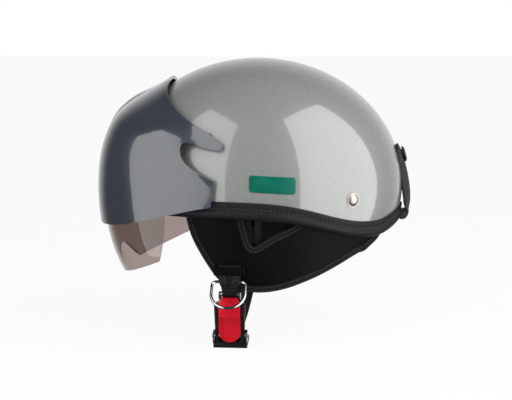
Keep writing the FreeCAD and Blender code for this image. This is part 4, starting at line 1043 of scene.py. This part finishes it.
def ribbon_rows(line, widths, thick, mid_y):
    """A strap whose line lies in the X-Z plane and whose width lies along Y: rounded at both edges."""
    rows = []
    for k, spot in enumerate(line):
        run = run_at(line, k)
        side = Vector((run.z, 0.0, -run.x))
        rows.append([spot + side * (thick / 2.0 * h) + Vector((0.0, mid_y + y, 0.0))
                     for y, h in ribbon_section(widths[k] / 2.0)])
    return rows


def strap(name, line, widths, thick, step=1.0):
    half = max(widths) / 2.0
    places = [y for y, _ in ribbon_section(half)] + [-half]
    return lattice(name, ribbon_rows(line, widths, thick, STRAP_MID_Y), wrap_columns=True, cap=True,
                   uvs=lambda i, j: (i * step, places[j]))


def buckle_spot(t, s):
    tilt = math.radians(BUCKLE_TILT)
    return Vector((BUCKLE_TOP_X + t * math.cos(tilt) - s * math.sin(tilt), 0.0,
                   BUCKLE_TOP_Z - s * math.cos(tilt) - t * math.sin(tilt)))


def round_bar(bar, reach, turns):
    """Points round a bar along Y, at some distance from its middle."""
    turns = [math.radians(turn) for turn in turns]
    return [bar + Vector((reach * math.cos(turn), 0.0, reach * math.sin(turn))) for turn in turns]


class HELMET_OT_straps(bpy.types.Operator):
    """Makes the webbing chin straps, their keepers and their stitches"""
    bl_idname = "helmet.straps"
    bl_label = "Chin Straps"

    def execute(self, context):
        width = context.scene.helmet_strap.width * 1000.0
        bar = buckle_spot(BAR_T, BAR_S)
        reach = BAR_RADIUS + WEB_PLAY + WEB_THICK / 2.0
        points = [Vector((strap_front_x(z) + BINDING_PROUD + 0.3 + 0.8, 0.0, z))
                  for z in (-60.8, -65.0, -70.0, -75.0, -79.0)]
        points.append(bar + Vector((reach, 0.0, 2.2)))
        points += round_bar(bar, reach, (0.0, -45.0, -90.0, -135.0, -180.0))
        line = evenly(smooth_line(points), 0.9)
        widths = []
        seen_bar = False
        for spot in line:
            share = min(1.0, max(0.0, (spot.z - STRAP_NARROWS_Z) / (bar.z + 2.0 - STRAP_NARROWS_Z)))
            seen_bar = seen_bar or share >= 1.0
            widths.append(STRAP_END_WIDTH if seen_bar else width + (STRAP_END_WIDTH - width) * share)
        left = strap("strap_left", line, widths, WEB_THICK, 0.9)
        finished(left, finish("webbing"), "helmet", ["chin_strap_left"])
        self.ring_patch()
        self.far_strap(width)
        for side in ("left", "right"):
            keeper = copy_of("strap_keeper_" + side, "keeper_leather_" + side)
            evened(keeper, 0.0005).data.shade_smooth()
            finished(keeper, finish("keeper_leather"), "helmet", ["strap_keeper_" + side])
        return {"FINISHED"}

    def ring_patch(self):
        """The sewn patch that holds the ring's bar on the strap, with its nested stitch lines."""
        bar = Vector((strap_front_x(RING_BAR_Z) + 5.2, 0.0, RING_BAR_Z))
        reach = RING_WIRE + WEB_PLAY + 0.7
        points = [Vector((strap_front_x(z) + 3.6, 0.0, z)) for z in (-65.0, -69.0)]
        points += round_bar(bar, reach, (70.0, 30.0, -10.0, -50.0))
        points += [Vector((strap_front_x(-79.0) + x, 0.0, z)) for x, z in ((5.2, -78.6), (4.1, -81.0), (3.7, -83.6))]
        line = evenly(smooth_line(points), 0.6)
        widths = [19.4 - 7.0 * min(1.0, max(0.0, (-71.0 - spot.z) / 13.0)) for spot in line]
        patch = strap("ring_patch", line, widths, 1.2, 0.6)
        finished(patch, finish("webbing"), "helmet")
        lines = []
        low = next(k for k, spot in enumerate(line) if spot.z < -70.5)
        for inset, cut in ((1.5, 2), (3.5, 6), (5.3, 10)):
            run = range(low, len(line) - cut)
            left = [self.on_face(line, k, inset - widths[k] / 2.0) for k in run]
            right = [self.on_face(line, k, widths[k] / 2.0 - inset) for k in run]
            lines.append(left + right[::-1])
        sewn("strap_stitches", lines, "helmet", finish("thread_grey"), 2.0, 1.6, 0.55)

    def on_face(self, line, k, over):
        """A point on the outer face of a strap's line, some millimetres over from its middle."""
        run = run_at(line, k)
        return line[k] - Vector((run.z, 0.0, -run.x)) * 0.65 + Vector((0.0, STRAP_MID_Y + over, 0.0))

    def far_strap(self, width):
        points = [Vector((x, 0.0, z)) for x, z in STRAP_ROUTE]
        points += [Vector((-strap_front_x(z) - BINDING_PROUD - WEB_PLAY - WEB_THICK, 0.0, z)) for z in KEEPER_HEIGHTS]
        line = evenly(smooth_line(points), 1.2)
        inner = []
        for k, spot in enumerate(line):
            run = run_at(line, k)
            inner.append(spot + Vector((run.z, 0.0, -run.x)) * 0.8)
        cut = next(k for k, spot in enumerate(inner) if spot.z > -118.0 and spot.x < STRAP_JOIN_X)
        near = strap("strap_right_near", inner[:cut + 1], [width] * (cut + 1), WEB_THICK, 1.2)
        far = strap("strap_right_far", inner[cut:], [width] * (len(inner) - cut), WEB_THICK, 1.2)
        for piece in (near, far):
            piece.data.materials.append(finish("webbing"))
        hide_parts("chin_strap_right")
        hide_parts("chin_strap_right")
        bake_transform(near)
        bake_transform(far)


# Ring, buckle and rear strap

class HELMET_OT_buckle(bpy.types.Operator):
    """Makes the ring and the ratchet buckle with softened edges"""
    bl_idname = "helmet.buckle"
    bl_label = "Ring And Buckle"

    def execute(self, context):
        plan = [
            ("buckle_frame", "frame_bright", "chrome", "frame_steel", 0.22, "buckle"),
            ("buckle_cover", "cover_black", "buckle_black", "buckle_black", 0.25, "buckle"),
            ("buckle_lever", "lever_red", "lever_red", "lever_red", 0.25, "lever"),
            ("tongue_holder", "holder_black", "buckle_black", "buckle_black", 0.5, "tongue"),
            ("tongue_strip", "tongue_ribbed", "tongue_plastic", "tongue_plastic", 0.12, "tongue"),
            ("lever_pin", "pin_bright", "steel", "pin_steel", 0.2, "buckle"),
            ("buckle_bar", "bar_bright", "chrome", "bar_steel", 0.2, "buckle"),
            ("snap_cap", "snap_cap_round", "snap_black", "snap_black", 0.35, "goggle"),
        ]
        for node, name, key, slot, bevel, body in plan:
            piece = softened_copy(node, name, bevel)
            finished(piece, finish(key), body, [node])
        dress("lever_spring", "steel")
        ring = copy_of("d_ring", "ring_bright")
        ring.data.shade_smooth()
        finished(ring, finish("chrome"), "ring", ["d_ring"])
        return {"FINISHED"}


class HELMET_OT_rear_strap(bpy.types.Operator):
    """Makes the rear goggle strap, its sewn end and its stitches"""
    bl_idname = "helmet.rear_strap"
    bl_label = "Rear Strap"

    def execute(self, context):
        line = evenly(smooth_line([(0.0, y, z) for y, z in GOGGLE_LINE]), 1.2)
        rows, edges = [], ([], [])
        for k, spot in enumerate(line):
            run = run_at(line, k)
            out = Vector((0.0, -run.z, run.y))
            round_off = min(1.0, k / 7.0)
            half = GOGGLE_HALF_WIDTH - 5.5 * (1.0 - round_off) ** 2.2
            curl = GOGGLE_CURL_LEAST + GOGGLE_CURL_MORE * math.sin(math.pi * (k / (len(line) - 1)) ** 1.15) ** 0.55
            face = [(half * 0.4, 0.12), (half - 4.2, 0.0), (half - 2.4, -0.22), (half - 0.6, -0.02),
                    (half, -0.5), (half, -1.3)]
            section = [(-x, h) for x, h in face[::-1]] + [(0.0, 0.15)] + face
            section += [(half - 0.6, -2.45), (half * 0.4, -2.55), (-half * 0.4, -2.55), (-half + 0.6, -2.45)]
            rows.append([spot + Vector((x, -curl * (x / GOGGLE_HALF_WIDTH) ** 2, 0.0)) + out * h for x, h in section])
            seam = half - 2.4
            for side, store in zip((-1.0, 1.0), edges):
                store.append(spot + Vector((side * seam, -curl * (seam / GOGGLE_HALF_WIDTH) ** 2, 0.0)) - out * 0.1)
        piece = lattice("rear_strap", rows, wrap_columns=True, cap=True)
        finished(piece, finish("goggle_leather"), "goggle", ["goggle_strap"])
        sewn("rear_strap_stitches", edges, "goggle", finish("thread_grey"), 2.6, 2.0, 0.5)
        anchor = softened_copy("strap_anchor", "rear_strap_end", 0.6)
        finished(anchor, finish("goggle_leather"), "helmet", ["strap_anchor"])
        return {"FINISHED"}


# Stage: floor, light and camera

def wired(tree, kind, *feeds, **settings):
    """A new node whose inputs, in order, take a socket or a value, or stay as they are for None."""
    node = tree.nodes.new(kind)
    for key, value in settings.items():
        setattr(node, key, value)
    for slot, feed in zip(node.inputs, feeds):
        if isinstance(feed, bpy.types.NodeSocket):
            tree.links.new(feed, slot)
        elif feed is not None:
            slot.default_value = feed
    return node


def seen_directly(tree, path):
    """1 for rays from the camera and for rays that went through the lens."""
    return wired(tree, "ShaderNodeMath", path["Is Camera Ray"], path["Is Transmission Ray"], operation="MAXIMUM").outputs[0]


def panel(name, turn, distance, along, heights, glow):
    """An upright soft panel: its plane stands at a distance towards turn, and along and heights bound it."""
    turn = math.radians(turn)
    out = Vector((math.cos(turn), math.sin(turn), 0.0))
    side = Vector((-out.y, out.x, 0.0))
    data = bpy.data.lights.new(name, "AREA")
    data.shape, data.size, data.size_y = "RECTANGLE", along[1] - along[0], heights[1] - heights[0]
    data.energy = glow * data.size * data.size_y * math.pi
    piece = placed(name, data)
    piece.location = out * distance + side * (sum(along) / 2.0) + Vector((0.0, 0.0, sum(heights) / 2.0))
    piece.rotation_mode = "QUATERNION"
    piece.rotation_quaternion = out.to_track_quat("Z", "Y")
    piece.visible_camera = False
    return piece


class HELMET_OT_stage(bpy.types.Operator):
    """Makes the pale floor, the soft studio light and the camera"""
    bl_idname = "helmet.stage"
    bl_label = "Stage"

    def execute(self, context):
        scene = context.scene
        look = scene.helmet_stage
        low = CAD_BOX[0][2] - FLOOR_DROP
        mesh = bpy.data.meshes.new("floor")
        corners = [(x * FLOOR_REACH, y * FLOOR_REACH, low) for x, y in ((-1, -1), (1, -1), (1, 1), (-1, 1))]
        mesh.from_pydata(corners, [], [(0, 1, 2, 3)])
        floor = placed("floor", mesh)
        floor.data.materials.append(self.floor_paint(look.floor))
        self.world(scene)
        for values in PANELS:
            panel(*values)
        data = bpy.data.cameras.new("camera")
        data.sensor_width = SENSOR_WIDTH
        data.lens = SENSOR_WIDTH * PHOTO_DISTANCE / PHOTO_WIDTH
        data.clip_start, data.clip_end = 0.01, 100.0
        camera = placed("camera", data)
        aim = Vector(CAMERA_AIM)
        back = Vector(CAMERA_PLACE) - aim
        camera.location = aim + back.normalized() * look.distance
        camera.rotation_mode = "QUATERNION"
        camera.rotation_quaternion = back.to_track_quat("Z", "Y")
        scene.camera = camera
        scene.view_settings.view_transform = "Standard"
        return {"FINISHED"}

    def floor_paint(self, colour):
        """Nearly white where it is seen directly, clear to reflections, and matt to all other light."""
        paint = bpy.data.materials.new("floor_paint")
        paint.use_nodes = True
        tree = paint.node_tree
        matt = tree.nodes["Principled BSDF"]
        matt.inputs["Base Color"].default_value = (*colour, 1.0)
        matt.inputs["Roughness"].default_value = 0.9
        path = tree.nodes.new("ShaderNodeLightPath").outputs
        glow = tree.nodes.new("ShaderNodeEmission")
        glow.inputs["Strength"].default_value = 1.0
        share = wired(tree, "ShaderNodeMath", seen_directly(tree, path), FLOOR_WHITE, operation="MULTIPLY")
        pale = wired(tree, "ShaderNodeMixShader", share.outputs[0], matt.outputs[0], glow.outputs[0])
        outside = wired(tree, "ShaderNodeMath", 1.0, path["Is Transmission Ray"], operation="SUBTRACT")
        mirrored = wired(tree, "ShaderNodeMath", path["Is Glossy Ray"], outside.outputs[0], operation="MULTIPLY")
        clear = tree.nodes.new("ShaderNodeBsdfTransparent")
        last = wired(tree, "ShaderNodeMixShader", mirrored.outputs[0], pale.outputs[0], clear.outputs[0])
        tree.links.new(last.outputs[0], tree.nodes["Material Output"].inputs["Surface"])
        return paint

    def world(self, scene):
        """White where it is seen directly, dim as light, and brighter towards -X in reflections."""
        world = bpy.data.worlds.new("studio")
        scene.world = world
        world.use_nodes = True
        tree = world.node_tree
        room = tree.nodes["Background"]
        room.inputs["Color"].default_value = (1.0, 1.0, 1.0, 1.0)
        path = tree.nodes.new("ShaderNodeLightPath").outputs
        place = tree.nodes.new("ShaderNodeTexCoord").outputs["Generated"]
        split = wired(tree, "ShaderNodeSeparateXYZ", place)
        wall = wired(tree, "ShaderNodeMapRange", split.outputs["X"], ROOM_SEEN_FROM[0], ROOM_SEEN_TO[0],
                     ROOM_SEEN_FROM[1], ROOM_SEEN_TO[1], interpolation_type="SMOOTHSTEP")
        level = wired(tree, "ShaderNodeMix", path["Is Glossy Ray"], None, ROOM_LIGHT, wall.outputs["Result"])
        tree.links.new(level.outputs[0], room.inputs["Strength"])
        white = wired(tree, "ShaderNodeBackground", (1.0, 1.0, 1.0, 1.0), 1.0)
        mix = wired(tree, "ShaderNodeMixShader", seen_directly(tree, path), room.outputs[0], white.outputs[0])
        tree.links.new(mix.outputs[0], tree.nodes["World Output"].inputs["Surface"])


OPERATORS = (HELMET_OT_stage, HELMET_OT_shell, HELMET_OT_trim, HELMET_OT_liner, HELMET_OT_lens, HELMET_OT_peak,
             HELMET_OT_flaps, HELMET_OT_straps, HELMET_OT_buckle, HELMET_OT_rear_strap)
SETTINGS = {"helmet_shell": HelmetShell, "helmet_peak": HelmetPeak, "helmet_lens": HelmetLens, "helmet_trim": HelmetTrim,
            "helmet_liner": HelmetLiner, "helmet_leather": HelmetLeather, "helmet_strap": HelmetStrap,
            "helmet_hardware": HelmetHardware, "helmet_stage": HelmetStage}


class HELMET_PT_maker(bpy.types.Panel):
    """Lists the helmet's settings and makers"""
    bl_idname = "HELMET_PT_maker"
    bl_label = "Helmet Maker"
    bl_space_type = "VIEW_3D"
    bl_region_type = "UI"
    bl_category = "Helmet"

    def draw(self, context):
        for name in SETTINGS:
            box = self.layout.box()
            group = getattr(context.scene, name)
            for key in group.__annotations__:
                box.prop(group, key)
        for operator in OPERATORS:
            self.layout.operator(operator.bl_idname)


def register():
    for name, group in SETTINGS.items():
        bpy.utils.register_class(group)
        setattr(bpy.types.Scene, name, bpy.props.PointerProperty(type=group))
    for made in (*OPERATORS, HELMET_PT_maker):
        bpy.utils.register_class(made)


def unregister():
    for made in (HELMET_PT_maker, *reversed(OPERATORS)):
        bpy.utils.unregister_class(made)
    for name, group in SETTINGS.items():
        delattr(bpy.types.Scene, name)
        bpy.utils.unregister_class(group)


def main():
    register()
    for operator in OPERATORS:
        group, name = operator.bl_idname.split(".")
        getattr(getattr(bpy.ops, group), name)()


if __name__ == "__main__":
    main()
